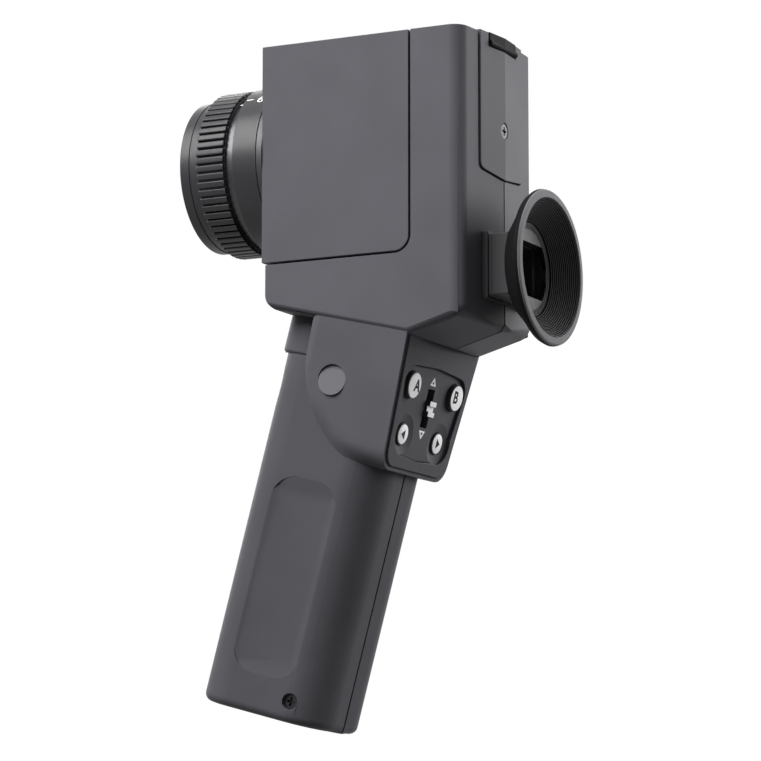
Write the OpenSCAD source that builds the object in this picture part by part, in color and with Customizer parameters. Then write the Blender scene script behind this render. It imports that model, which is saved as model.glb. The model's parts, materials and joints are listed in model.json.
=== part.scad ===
// Pistol-grip spot meter: a reflex head with a focusing lens, an eyepiece low
// at the back, a raked grip with a trigger, and a thumb keypad behind the neck.
// Millimetres. The origin is the mouth of the tripod socket in the foot of the
// grip. +X runs from the lens to the eyepiece, +Z is up, -Y is the left side.

/* [Grip] */
// Rake of the grip from the vertical, foot towards the lens, in degrees
grip_rake = 15.3; // [8:0.1:20]
// Depth of the grip from front to back
grip_depth = 42; // [40:0.5:48]
// Width of the grip from side to side
grip_width = 34.4; // [32:0.2:36]
// Corner radius of the grip's section
grip_corner_r = 12; // [8:0.5:14]
// Length of the grip from its foot to the belly of the head
grip_len = 113.7; // [108:0.1:130]
// Wall of the grip and head shells
wall = 2.2; // [1.8:0.1:2.8]
// Thickness of the grip's foot
foot_t = 3; // [2.5:0.1:4]
// Depth of the palm recess in each side of the grip
palm_depth = 1; // [0.5:0.1:1.4]
// Width of the palm recess
palm_w = 21.8; // [16:0.1:24]
// Height of the palm recess
palm_h = 57; // [40:0.5:60]
// Height of the lower end of the palm recess above the foot
palm_z = 11.2; // [10:0.1:16]
// Corner radius of the palm recess
palm_r = 8; // [4:0.5:10]

/* [Trigger] */
// Height of the trigger's centre above the foot
trigger_z = 92.5; // [90:0.5:94]
// Radius of the finger hollow around the trigger
hollow_r = 16; // [14:0.5:18]
// Depth of the finger hollow below the grip's front
hollow_depth = 2.7; // [2:0.1:3]
// How far the brow above the trigger stands out
brow_proud = 1.6; // [0.5:0.1:2]
// Width of the trigger
trigger_w = 11; // [9:0.5:13]
// Height of the trigger
trigger_h = 14; // [12:0.5:15]
// How far the trigger stands out of the hollow
trigger_proud = 2; // [1.5:0.1:2.5]
// Travel of the trigger
trigger_travel = 2; // [1:0.1:2.2]

/* [Battery and foot] */
// Diameter of the round cell
cell_d = 14.5; // [13.5:0.1:14.5]
// Length of the round cell
cell_len = 50.5; // [44:0.5:52]
// Diameter of the cell cap in the foot
cap_d = 16.6; // [16:0.1:17]
// Distance from the tripod socket forward to the cell
cell_ahead = 13.2; // [13:0.1:14]
// Distance from the grip's middle back to the tripod socket
socket_back = 4.6; // [4:0.1:5]
// Bore radius of the tripod socket, before its thread is cut
socket_r = 2.6; // [2.4:0.05:2.7]
// Outer diameter of the tripod bush
bush_d = 8; // [7.4:0.1:8.2]
// Length of the tripod bush
bush_len = 9; // [7:0.5:10]

/* [Head] */
// Width of the head
head_w = 48.5; // [47:0.5:52]
// Height of the head above the lens axis
head_top = 31.6; // [31:0.1:36]
// Length of the head from the cover's front to the ridge at the back
head_len = 65.4; // [64.5:0.1:70]
// Length of the front cover
cover_len = 46.9; // [46:0.1:48]
// Depth of the front cover below the lens axis
cover_drop = 32; // [31:0.1:33]
// Radius of the front cover's lower back corner
cover_corner_r = 4.5; // [2:0.5:6]
// Wall of the front cover
cover_wall = 2; // [1.5:0.1:2.5]
// Setback of the lower head behind the cover's front
lower_setback = 1.1; // [0.5:0.1:1.2]
// Depth of the belly below the lens axis, on the grip's middle line
belly_drop = 50.3; // [50:0.1:54]
// Slope of the belly, falling to the back, in degrees
belly_slope = 13.8; // [11:0.1:15]
// Where the grip's middle line meets the belly, from the cover's front
grip_seat_x = 23.5; // [22:0.1:25]
// Depth of the heel at the back of the head below the lens axis
heel_drop = 52.8; // [52:0.1:56]
// Slope of the heel, rising to the back, in degrees
heel_slope = 15.5; // [12:0.1:18]
// Slope of the two back faces away from the ridge, in degrees
rear_slope = 5; // [3:0.1:6]
// Slope of the two heel faces away from the keel, in degrees
keel_slope = 5.7; // [4:0.1:7]
// Radius of the upright back corners
rear_corner_r = 4.3; // [3:0.1:6]
// Radius of the chin and of the heel's back edge
chin_r = 5; // [3.5:0.1:6]
// Radius along the lower side edges
belly_edge_r = 2.5; // [2.5:0.1:4]
// Gap of the visible seams
seam_gap = 0.6; // [0.3:0.05:0.8]
// Depth of the groove along the parting line of the halves
groove_depth = 0.5; // [0.3:0.1:0.8]
// Clearance between pieces that fit into each other
fit_gap = 0.15; // [0.1:0.01:0.2]

/* [Collar and keypad] */
// Width of the collar at its top
collar_top_w = 47.4; // [46:0.2:48]
// Width of the collar at its bottom
collar_bottom_w = 39.6; // [39:0.2:44]
// Height of the collar's bottom above the foot
collar_z = 76; // [75.5:0.1:76.5]
// Distance of the collar's back face behind the grip's middle line
collar_back = 23.2; // [23:0.1:24]
// Distance of the collar's front edge ahead of the grip's middle line
collar_front = 7.6; // [7.4:0.1:8.4]
// Radius of the collar's lower front sweep
collar_sweep_r = 30; // [22:0.5:30]
// Radius of the collar's lower corners
collar_corner_r = 6; // [4:0.5:8]
// How far the keypad frame stands out behind the collar
frame_proud = 0.7; // [0.4:0.1:1]
// Depth of the keypad recess below its frame
pad_depth = 1; // [0.6:0.1:1.4]
// Width of the keypad recess at its top
pad_top_w = 40; // [38:0.2:40.4]
// Width of the keypad recess at its bottom
pad_bottom_w = 30.6; // [30:0.2:32]
// Height of the keypad recess
pad_h = 27.4; // [27:0.2:28]
// Diameter of the two large buttons
large_button_d = 7.8; // [7:0.1:8]
// Diameter of the two small buttons
small_button_d = 6.3; // [5.5:0.1:6.6]
// Distance of the large buttons from the middle
large_button_y = 13.6; // [12.5:0.1:13.8]
// Distance of the small buttons from the middle
small_button_y = 11; // [10.5:0.1:11.2]
// Height of the large buttons above the foot
large_button_z = 101; // [100:0.1:101.4]
// Height of the small buttons above the foot
small_button_z = 86.9; // [86.4:0.1:87.4]
// How far the large buttons stand out of the keypad
large_button_proud = 1.4; // [1.2:0.1:2]
// Travel of the buttons
button_travel = 1; // [0.6:0.1:1.1]
// Length of the lever's slot
lever_slot_l = 11.2; // [11:0.1:12]
// Width of the lever's slot
lever_slot_w = 4.2; // [4:0.1:4.6]
// Travel of the lever to each side
lever_travel = 2.4; // [1:0.1:2.4]
// Diameter of the round plug on each side of the collar
plug_d = 8.7; // [8.4:0.1:9.6]

/* [Lens] */
// Radius of the fixed barrel
barrel_r = 25.1; // [25:0.1:26]
// Length of the fixed barrel with its flange
barrel_l = 9.5; // [9:0.1:11]
// Thickness of the lens flange
flange_t = 1.8; // [1.8:0.1:2.2]
// Radius of the lens flange
flange_r = 24.8; // [24:0.1:25]
// Radius over the ribs of the focus ring
focus_r = 24.5; // [24:0.1:25]
// Length of the ribbed part of the focus ring
rib_len = 9.2; // [8:0.1:10]
// Number of ribs around the focus ring
rib_count = 64; // [48:1:64]
// Radius of one rib
rib_r = 0.8; // [0.6:0.05:0.85]
// Length of the smooth skirt behind the ribs
skirt_l = 3.1; // [2.5:0.1:4]
// Radius of the smooth skirt
skirt_r = 22.8; // [22.4:0.1:23]
// Outer radius of the tube that the focus ring turns on
tube_r = 21; // [20.8:0.05:21.1]
// Bore radius of that tube, where the lens cell slides
tube_bore_r = 19.5; // [19.3:0.05:19.7]
// Length of the lens cell's front flange
cell_flange_l = 2.8; // [2.4:0.1:3.4]
// Radius of the lens cell's front flange
cell_flange_r = 22.3; // [22:0.1:22.4]
// Radius of the front element
front_glass_r = 17.85; // [17:0.05:18]
// Radius of the back element
back_glass_r = 13.3; // [12:0.05:13.4]
// Focusing travel of the lens cell
focus_travel = 2.6; // [1:0.1:2.6]
// Outer radius of the filter ring
filter_r = 22.5; // [22.3:0.1:23]
// Length of the filter ring
filter_l = 3; // [2.8:0.1:3.6]
// Radius of the filter ring's front thread
filter_thread_r = 21.2; // [21.1:0.05:21.3]
// Depth of the filter ring's front thread
filter_thread_l = 1.8; // [1.5:0.1:2]

/* [Eyepiece] */
// Depth of the eyepiece axis below the lens axis
eye_drop = 35.9; // [35.5:0.1:36.5]
// Width of the eyepiece block
eye_w = 24.6; // [24:0.1:25]
// Height of the eyepiece block
eye_h = 17.8; // [17:0.1:18.4]
// How far the eyepiece block stands out behind the ridge
eye_proud = 1.7; // [1.4:0.1:2.2]
// Length of the eyecup's frame
eye_frame_l = 4.9; // [4.4:0.1:5.4]
// Radius of the eyecup's rim
eyecup_r = 22.4; // [21:0.1:23]
// Length of the rubber eyecup
eyecup_l = 8.2; // [7:0.1:9]
// Radius of the eyecup's root
eyecup_root_r = 14.6; // [14.2:0.1:15]
// Wall of the eyecup
eyecup_wall = 1.3; // [1:0.1:1.6]

/* [Back panel] */
// Width of the back panel
panel_w = 28; // [26:0.2:28.4]
// Depth of the back panel's lower edge below the lens axis
panel_drop = 8; // [7:0.1:9]
// Extra depth of the panel's lower edge in the middle
panel_bow = 1.6; // [0.5:0.1:2]
// How far the back panel stands out
panel_proud = 0.45; // [0.3:0.05:0.5]
// Width of the port flap
flap_w = 17.6; // [16:0.2:18.4]
// Height of the port flap on the back
flap_h = 3.6; // [3:0.1:4.2]
// Height of the panel screw above the lens axis
panel_screw_z = 4.9; // [4:0.1:6]

/* [Hidden] */
$fn = 48;

// Colours
anthracite = "#4a494e";
dark_plastic = "#3b3a3f";
black_metal = "#1d1d20";
rubber_black = "#232226";
key_grey = "#c9c9cd";
steel = "#a9abb0";
brass = "#b89b56";
board_green = "#2f5a3c";
glass_tint = "#9fb4bd";

// Shared small sizes
reach = 300;
over = 1;
touch = 0.05;
least_r = 0.5;
run_gap = 0.05;
hair = 0.02;
slack = 0.3;
fine = 180;

// Grip
half_depth = grip_depth / 2;
half_grip = grip_width / 2;
trigger_pad_t = 2.5;
trigger_pad_h = 28;
trigger_floor_x = -half_depth + hollow_depth;
trigger_pad_x = trigger_floor_x + trigger_pad_t;
brow_z = trigger_z + 10;
cell_x = socket_back - cell_ahead;
cell_z = foot_t + 2.2;
cell_tube_gap = 0.35;
cell_rib_t = 2;
cell_rib_z = [14, 44];
contact_t = 0.5;
contact_w = 12;
contact_z = cell_z + cell_len + touch;
contact_rib_t = 2;
grip_screw_x = 10.9;
grip_screw_z = 6.1;
grip_screw_r = 1.2;
grip_screw_head_r = 2.1;
grip_screw_head_l = 1.6;
grip_screw_sink = 1.2;
grip_boss_r = 2.4;
bush_boss_r = bush_d / 2 + 1.4;

// Head: lines seen from the side, and the place of the head on the grip
half_head = head_w / 2;
head_x = grip_len * sin(grip_rake) - socket_back * cos(grip_rake) - grip_seat_x;
head_z = grip_len * cos(grip_rake) + socket_back * sin(grip_rake) + belly_drop;
belly_tan = tan(belly_slope);
heel_tan = tan(heel_slope);
function belly_at(x) = (grip_seat_x - x) * belly_tan - belly_drop;
function heel_at(x) = (x - head_len) * heel_tan - heel_drop;
function keel_x(lift_belly, lift_heel) =
    (heel_drop - belly_drop + grip_seat_x * belly_tan + head_len * heel_tan
        + lift_belly - lift_heel) / (belly_tan + heel_tan);
lip_in = cover_wall + fit_gap;
lip_t = 1.2;
lip_len = 3;
lip_root = 4;
lip_front_x = 8;

// Chassis and the pieces along the lens axis inside the head
plate_t = 1.5;
front_plate_t = 2.5;
chassis_edge_gap = 0.4;
chassis_flange_w = 3.15;
chassis_half = half_head - wall - chassis_edge_gap - chassis_flange_w;
front_plate_half = chassis_half + chassis_flange_w;
chassis_gap = 0.1;
chassis_inner = chassis_half - plate_t;
chassis_front = cover_wall + touch;
chassis_side_x = chassis_front + front_plate_t;
chassis_back = cover_len + fit_gap + 0.5;
chassis_top = head_top - 10;
chassis_below = 11.5;
chassis_foot = cover_drop + chassis_below;
front_plate_foot = cover_drop - 2;
ledge_t = 3;
ledge_skin = 0.4;
ledge_in = chassis_half + 0.2;
chassis_screw_x = [12, 40];
chassis_screw_y = chassis_half + chassis_flange_w / 2;
chassis_screw_r = 0.9;
chassis_screw_head_r = 1.4;
chassis_screw_head_l = 0.8;
chassis_screw_l = 4.4;
mirror_x = 24;
mirror_l = 34;
mirror_t = 1.2;
lower_mirror_l = 21;
screen_z = -19.5;
screen_t = 1.5;
screen_l = 24;
display_l = 6.6;
display_w = 24;
sensor_plate_h = 22;
sensor_board_w = 18;
sensor_board_t = 1.5;
photodiode_r = 4.6;
photodiode_l = 3;
hood_r = 6.8;
photopic_r = 5.2;
photopic_t = 1.4;
sensor_x = chassis_back - plate_t - sensor_board_t;

// Lens stations, from the cover's front towards the subject
spigot_r = 16;
spigot_bore_r = 14.5;
barrel_front = -barrel_l;
skirt_back = barrel_front - 0.2;
rib_back = skirt_back - skirt_l;
rib_front = rib_back - rib_len;
cell_flange_back = rib_front - 0.4;
cell_front = cell_flange_back - cell_flange_l;
filter_back = cell_front - 0.1;
filter_front = filter_back - filter_l;
filter_seat_r = filter_thread_r - 0.6;
filter_glass_r = filter_seat_r - touch;
filter_glass_x = filter_front + filter_thread_l;
filter_spigot_r = filter_thread_r - 0.1;
filter_spigot_bore_r = filter_seat_r - 0.7;
filter_spigot_l = 1.6;
barrel_back = -flange_t;
barrel_wall_x = barrel_back - 2;
cell_back = barrel_wall_x - 1.2;
cell_r = tube_bore_r - 0.08;
cell_bore_r = front_glass_r + touch;
front_glass_back = cell_flange_back + 6.9;
front_glass_t = 6.5;
front_glass_curve = 40;
retaining_r = front_glass_r - 1.65;
retaining_l = 1.6;
retaining_back = front_glass_back - front_glass_t + front_glass_curve
    - sqrt(front_glass_curve * front_glass_curve - retaining_r * retaining_r) - 0.08;
cell_mid_r = back_glass_r - 1.1;
back_glass_t = 4;
back_glass_curve = 30;
back_glass_front = cell_back - back_glass_t;
rib_centre_r = focus_r - rib_r;
rib_core_r = focus_r - 1.1;
guide_pin_r = 1;
guide_pin_x = front_glass_back + 1.5;
guide_slot_depth = 1.3;
flange_screw_y = 14.5;
flange_screw_r = 1;
flange_screw_head_r = 1.7;
flange_screw_head_l = 1;

// Eyepiece stations behind the ridge
eye_out = head_len + eye_proud;
eye_in = eye_out - 15;
eye_bore_r = 7;
eye_window_w = 19.2;
eye_window_h = 15;
eye_window_depth = 3;
eye_flange_out = head_len + 0.8;
eye_flange_edge = 0.7;
eye_flange_root = 6;
eye_stop_edge = 1.3;
eye_stop_t = 2;
eye_stop_x = head_len - (wall + fit_gap) / cos(rear_slope)
    - (eye_w / 2 + eye_stop_edge) * tan(rear_slope);
eye_lens_t = 4;
eye_lens_curve = 22;
eye_lens_x = eye_out - eye_window_depth - eye_lens_t - 0.3;
eye_frame_x = eye_out + touch;
eye_frame_back = eye_frame_x + eye_frame_l;
eye_frame_plate = 2.6;
eyecup_x = eye_frame_back;
eyecup_lip = 1.8;
eyecup_flange_t = 1.2;
eye_rim = 1.1;

// Back panel, port and main board
panel_t = 1.55;
panel_sink = panel_t - panel_proud;
panel_ledge = 2.5;
panel_wrap = 4.4;
panel_wrap_x = head_len - panel_wrap;
panel_corner_r = 2;
panel_screw_r = 1.1;
panel_screw_head_r = 2.1;
panel_screw_head_l = 1.3;
panel_screw_l = 7;
panel_screw_sink = 0.35;
panel_boss_r = 3.3;
panel_boss_l = 2.4;
bridge_h = 6;
bridge_t = 3.6;
bridge_end = 4;
bridge_x = head_len - panel_sink - panel_boss_l;
flap_proud = panel_proud + 0.15;
flap_in = 1.2;
flap_bead_r = (flap_in + flap_proud) / 2;
flap_hinge_x = head_len + (flap_proud - flap_in) / 2;
flap_reach = 9;
flap_x = head_len - flap_reach;
flap_z = head_top + flap_proud - flap_h - 0.4;
board_t = 1.6;
board_back_x = head_len - 7.8;
board_x = board_back_x - board_t;
board_edge = 2.05;
board_w = head_w - 2 * (wall + board_edge);
board_top = head_top - 4.2;
board_drop = 22;
board_post_in = 3;
board_post_y = board_w / 2 - board_post_in;
board_post_z = [-16, 22];
board_post_r = 2.2;
board_screw_r = 0.9;
board_screw_head_r = 1.7;
board_screw_head_l = 1;
board_screw_l = 5;
usb_w = 7.7;
usb_t = 3.9;
usb_l = 9;
usb_top = head_top - flap_in - 0.2;

// Screws through the head halves, as places seen from the side
head_boss_r = 3;
head_screw_r = 1.1;
head_screw_head_r = 2;
head_screw_head_l = 1.6;
head_screw_seat = 1;
head_screw_past = 14;
head_screw_at = [[cover_len + 4.1, head_top - 5.6], [cover_len + 4.1, -24],
    [cover_len - 6.9, belly_at(cover_len - 6.9) + wall + 3.6]];

// Collar and keypad, along the grip's own axes
collar_top = grip_len + 2.3;
collar_taper = (collar_top_w - collar_bottom_w) / 2 / (collar_top - collar_z);
collar_tilt = atan(collar_taper);
function collar_half(z) = collar_bottom_w / 2 + (z - collar_z) * collar_taper;
collar_lip = 1.2;
collar_corner_steps = 7;
frame_back = collar_back + frame_proud;
pad_floor = frame_back - pad_depth;
plate_back = pad_floor - 1.9;
pad_z = collar_z + 4.2;
pad_mid_z = pad_z + pad_h / 2;
pad_corner_r = 5;
tub_edge = 4.2;
tub_gap = 0.2;
tub_t = 1.5;
tub_front = plate_back - 4.7;
tub_foot = collar_z + 3.2;
tub_top = grip_len - 5.4;
keypad_x = tub_front - touch;
keypad_t = 1.5;
keypad_bay = keypad_x - keypad_t - 1.5;
mat_t = 1.6;
mat_edge = 2.6;
mat_gap = 0.7;
button_root = plate_back - touch;
button_flange_t = 1.2;
button_flange_edge = 0.7;
button_gap = 0.2;
dish_r = 6;
dish_depth = 0.9;
dish_curve = (dish_r * dish_r + dish_depth * dish_depth) / (2 * dish_depth);
lever_z = (large_button_z + small_button_z) / 2 + 1.9;
lever_l = 4.4;
lever_foot_l = lever_slot_l - 2 * lever_travel + 2 * (lever_travel + 0.6);
lever_foot_w = lever_slot_w + 2;
lever_foot_t = 0.9;
lever_proud = 1.6;
lever_step = 0.7;
switch_w = 6.4;
switch_l = 10;
keypad_screw_r = 0.8;
keypad_screw_head_r = 1.4;
keypad_boss_r = 1.9;
keypad_screw_head_l = 0.8;
keypad_screw_l = 5.5;
keypad_screw_at = [[collar_half(tub_foot) - tub_edge - keypad_boss_r, tub_foot + keypad_boss_r + 0.3],
    [large_button_y - 7, tub_top - keypad_boss_r - 1.4]];
screw_z = 97.1;
screw_x = 2.4;
collar_screw_r = 1.5;
collar_screw_head_r = 2.8;
collar_screw_head_l = 2.4;
plug_t = 1.2;
plug_gap = 0.12;
plug_sink = 0.1;
collar_head_y = collar_half(screw_z) - plug_t - 3.2;
wire_hole_r = 5;

// Trigger parts
trigger_flange_t = 1.5;
trigger_flange_edge = 1.5;
trigger_plunger_r = 1.5;
trigger_back = trigger_pad_x + 0.1 + trigger_flange_t;
switch_face_x = trigger_back + 6.3;
plunger_tip = switch_face_x - trigger_travel - 0.1;
trigger_switch_t = 6;
trigger_switch_w = 7;
trigger_switch_h = 13;
switch_rib_t = 3;
spring_wire_r = 0.35;
cell_coil_r = 4;
cell_turns = 3;
coil_steps = 12;
coil_sides = 6;

// Frames: the head's own frame sits on the lens axis at the cover's front, and
// the grip's own frame stands in the foot with its middle line upright.
module in_head() translate([head_x, 0, head_z]) children();
module in_grip() rotate([0, grip_rake, 0]) translate([-socket_back, 0, 0]) children();
module in_eye() in_head() translate([0, 0, -eye_drop]) children();

// Outlines drawn in X and Z, and pushed out along Y
module along_y(depth) rotate([90, 0, 0]) linear_extrude(depth, center = true) children();
// Outlines drawn in Y and Z, and pushed out along X from x0 to x1
module along_x(x0, x1) translate([x0, 0, 0]) rotate([90, 0, 90]) linear_extrude(x1 - x0) children();
// Profiles drawn as station and radius, and spun about the X axis
module spin_x() rotate([0, 90, 0]) rotate_extrude() rotate(90) mirror([0, 1]) children();
module rod_x(x0, x1, r) translate([x0, 0, 0]) rotate([0, 90, 0]) cylinder(x1 - x0, r = r);
module rod_y(y0, y1, r) translate([0, y1, 0]) rotate([90, 0, 0]) cylinder(y1 - y0, r = r);
module block(x, y, z) translate([x[0], y[0], z[0]]) cube([x[1] - x[0], y[1] - y[0], z[1] - z[0]]);

// Round one convex corner of an outline
function unit(v) = v / norm(v);
module corner_cut(c, a, b, r) {
    to_a = unit(a - c);
    to_b = unit(b - c);
    half = acos(to_a * to_b) / 2;
    mid = c + unit(to_a + to_b) * r / sin(half);
    on_a = c + to_a * r / tan(half);
    on_b = c + to_b * r / tan(half);
    difference() {
        polygon([c - (to_a + to_b) * over, on_a + unit(on_a - mid) * over, mid,
            on_b + unit(on_b - mid) * over]);
        translate(mid) circle(r);
    }
}

module round_poly(points, radii) {
    count = len(points);
    difference() {
        polygon(points);
        for (i = [0 : count - 1])
            if (radii[i] > 0)
                corner_cut(points[i], points[(i + count - 1) % count], points[(i + 1) % count], radii[i]);
    }
}

module round_rect(half_x, half_y, r)
    round_poly([[-half_x, -half_y], [half_x, -half_y], [half_x, half_y], [-half_x, half_y]], [r, r, r, r]);

// A cross-head screw along +X, its head's outer face at x = 0
module cross_screw(head_r, head_l, shank_r, length) {
    slot_w = head_r * 0.32;
    slot_l = head_r * 1.2;
    difference() {
        rod_x(0, head_l, head_r);
        for (turn = [0, 90])
            rotate([turn, 0, 0])
                block([-over, head_l * 0.6], [-slot_l / 2, slot_l / 2], [-slot_w / 2, slot_w / 2]);
    }
    rod_x(head_l - hair, length, shank_r);
}

// A wire coil along +X, its ends at x = 0 and x = length
module coil(coil_r, wire_r, turns, length) {
    count = turns * coil_steps;
    rise = (length - 2 * wire_r) / count;
    points = [for (i = [0 : count]) for (k = [0 : coil_sides - 1])
        let (a = i * 360 / coil_steps, b = k * 360 / coil_sides, r = coil_r + wire_r * cos(b))
        [wire_r + i * rise + wire_r * sin(b), r * cos(a), r * sin(a)]];
    sides = [for (i = [0 : count - 1]) for (k = [0 : coil_sides - 1])
        let (p = i * coil_sides + k, q = i * coil_sides + (k + 1) % coil_sides)
        each [[p, q, q + coil_sides], [p, q + coil_sides, p + coil_sides]]];
    first = [for (k = [1 : coil_sides - 2]) [0, k + 1, k]];
    last = [for (k = [1 : coil_sides - 2]) [count * coil_sides, count * coil_sides + k,
        count * coil_sides + k + 1]];
    polyhedron(points, concat(sides, first, last));
}

// The head's outer form, drawn in by inset on every face
module head_side(inset) {
    front = lower_setback + inset;
    back = head_len - inset / cos(rear_slope) + slack;
    lift_belly = inset / cos(belly_slope) - slack;
    lift_heel = inset / cos(heel_slope) - slack;
    keel = keel_x(lift_belly, lift_heel);
    r = max(chin_r - inset, least_r);
    round_poly([[front, head_top - inset], [front, belly_at(front) + lift_belly],
        [keel, belly_at(keel) + lift_belly], [back, heel_at(back) + lift_heel],
        [back, head_top - inset]], [0, r, 0, r, 0]);
}

module head_plan(inset) {
    half = half_head - inset;
    ridge = head_len - inset / cos(rear_slope);
    corner = ridge - half * tan(rear_slope);
    r = max(rear_corner_r - inset, least_r);
    round_poly([[-reach, -half], [corner, -half], [ridge, 0], [corner, half], [-reach, half]],
        [0, r, 0, r, 0]);
}

module belly_section(inset, rise) {
    half = half_head - inset + slack;
    r = max(belly_edge_r - inset, least_r) + slack;
    round_poly([[0, inset], [half, inset + rise], [half, reach], [-half, reach],
        [-half, inset + rise]], [0, r, 0, 0, r]);
}

module belly_section_flat(inset) {
    half = half_head - inset + slack;
    r = max(belly_edge_r - inset, least_r) + slack;
    round_poly([[-half, inset], [half, inset], [half, reach], [-half, reach]], [r, r, 0, 0]);
}

module head_form(inset) {
    intersection() {
        along_y(reach) head_side(inset);
        translate([0, 0, -reach / 2]) linear_extrude(reach) head_plan(inset);
        translate([grip_seat_x, 0, -belly_drop]) rotate([0, belly_slope, 0])
            along_x(-reach, reach) belly_section_flat(inset);
        translate([head_len, 0, -heel_drop]) rotate([0, -heel_slope, 0])
            along_x(-reach, reach) belly_section(inset, (half_head - inset + slack) * tan(keel_slope));
    }
}

// The two back faces and the top alone, for the pieces let into them
module rear_form(inset) {
    ridge = head_len - inset / cos(rear_slope);
    corner = ridge - panel_w * tan(rear_slope);
    translate([0, 0, -reach]) linear_extrude(reach + head_top - inset)
        polygon([[0, -panel_w], [corner, -panel_w], [ridge, 0], [corner, panel_w], [0, panel_w]]);
}

// Everything above the two heel faces, lowered by gap
module above_heel(gap) {
    rise = head_w * tan(keel_slope);
    translate([head_len, 0, -heel_drop]) rotate([0, -heel_slope, 0])
        along_x(-reach, reach) polygon([[0, -gap], [head_w, rise - gap], [head_w, reach], [-head_w, reach],
            [-head_w, rise - gap]]);
}

// Where the front cover lies, grown by grow past its edges
module cover_zone(grow) {
    back = cover_len + grow;
    foot = -cover_drop - grow;
    along_y(reach) round_poly([[-reach, reach], [-reach, foot], [back, foot], [back, reach]],
        [0, 0, max(cover_corner_r + grow, least_r), 0]);
}

module lips() {
    intersection() {
        difference() {
            head_form(lip_in);
            head_form(lip_in + lip_t);
        }
        difference() {
            cover_zone(lip_root);
            cover_zone(-lip_len);
        }
        block([lip_front_x, reach], [-reach, reach], [-reach, reach]);
    }
}

// The back panel's outline, grown by grow, seen along X
module panel_outline(grow) {
    half = panel_w / 2 + grow;
    foot = -panel_drop - grow;
    round_poly([[-half, reach], [-half, foot], [0, foot - panel_bow], [half, foot], [half, reach]],
        [0, panel_corner_r, 0, panel_corner_r, 0]);
}

module panel_zone(grow) {
    along_x(panel_wrap_x - grow, reach) panel_outline(grow);
}

module head_ledges() {
    for (side = [-1, 1])
        intersection() {
            head_form(wall / 2);
            block([lower_setback + wall, cover_len], [min(side * ledge_in, side * half_head),
                max(side * ledge_in, side * half_head)],
                [-chassis_foot - touch - ledge_t, -chassis_foot - touch]);
        }
}

module board_posts() {
    for (z = board_post_z)
        for (side = [-1, 1])
            intersection() {
                translate([0, side * board_post_y, z]) rod_x(board_back_x + touch, head_len, board_post_r);
                head_form(wall / 2);
            }
}

module head_bosses() {
    for (at = head_screw_at)
        translate([at[0], 0, at[1]])
            intersection() {
                rod_y(-half_head, half_head, head_boss_r);
                translate([-at[0], 0, -at[1]]) head_form(wall / 2);
            }
}

// Half of space on one side of the parting plane
module half_space(side) translate([-reach, side < 0 ? -reach : 0, -reach]) cube([2 * reach, reach, 2 * reach]);

module parting_slab() block([-reach, reach], [-seam_gap / 2, seam_gap / 2], [-reach, reach]);

// The collar's outer form in the grip's frame
module collar_section(edge, foot) {
    last = collar_corner_steps;
    top_half = collar_half(collar_top) - edge;
    r = max(collar_corner_r - edge, least_r);
    mid_y = collar_half(foot + r) - edge - r / cos(collar_tilt);
    arc = [for (i = [0 : last]) let (a = i * (90 - collar_tilt) / last)
        [mid_y + r * sin(a), foot + r - r * cos(a)]];
    other = [for (i = [0 : last]) [-arc[last - i][0], arc[last - i][1]]];
    polygon(concat(other, arc, [[top_half, collar_top], [-top_half, collar_top]]));
}

module collar_form() {
    intersection() {
        along_x(-reach, reach) collar_section(0, collar_z);
        along_y(reach) round_poly([[-collar_front, collar_top + over], [-collar_front, collar_z - 2 * over],
            [collar_back, collar_z - 2 * over], [collar_back, collar_top + over]], [0, collar_sweep_r, 0, 0]);
    }
}

// Room for the keypad: the plate behind, the tub in front of it
module plate_room(gap) {
    along_x(plate_back - gap, reach) collar_section(collar_lip + fit_gap - gap,
        collar_z + collar_lip + fit_gap - gap);
}

module tub_outline(grow) {
    foot_half = collar_half(tub_foot) - tub_edge + grow;
    top_half = collar_half(tub_top) - tub_edge + grow;
    round_poly([[-top_half, tub_top + grow], [-foot_half, tub_foot - grow],
        [foot_half, tub_foot - grow], [top_half, tub_top + grow]],
        [tub_t, tub_t, tub_t, tub_t]);
}

module keypad_room() {
    plate_room(fit_gap);
    along_x(keypad_bay, plate_back + over) tub_outline(tub_gap);
}

// One side's counterbore, shank hole and plug seat in the collar
module plug_axis(side) {
    translate([screw_x, side * collar_half(screw_z), screw_z])
        rotate([side * collar_tilt, 0, 0]) children();
}

// The grip's outer form in its own frame, grown by grow
module grip_section(grow) round_rect(half_depth + grow, half_grip + grow, grip_corner_r + grow);

module grip_form(grow) {
    difference() {
        union() {
            linear_extrude(collar_top) grip_section(grow);
            translate([-brow_proud, 0, brow_z]) linear_extrude(collar_top - brow_z) grip_section(grow);
        }
        translate([trigger_floor_x - hollow_r - grow, 0, trigger_z]) rod_y(-reach, reach, hollow_r);
    }
}

// Everything above the belly, in the grip's frame
module above_belly(gap) {
    translate([0, 0, grip_len - gap]) rotate([0, belly_slope - grip_rake, 0])
        block([-reach, reach], [-reach, reach], [0, reach]);
}

// Everything above the underside of the head, lowered by gap, in the grip's frame
module above_head_floor(gap) {
    intersection() {
        above_belly(gap);
        translate([socket_back, 0, 0]) rotate([0, -grip_rake, 0]) in_head() above_heel(gap);
    }
}

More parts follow.
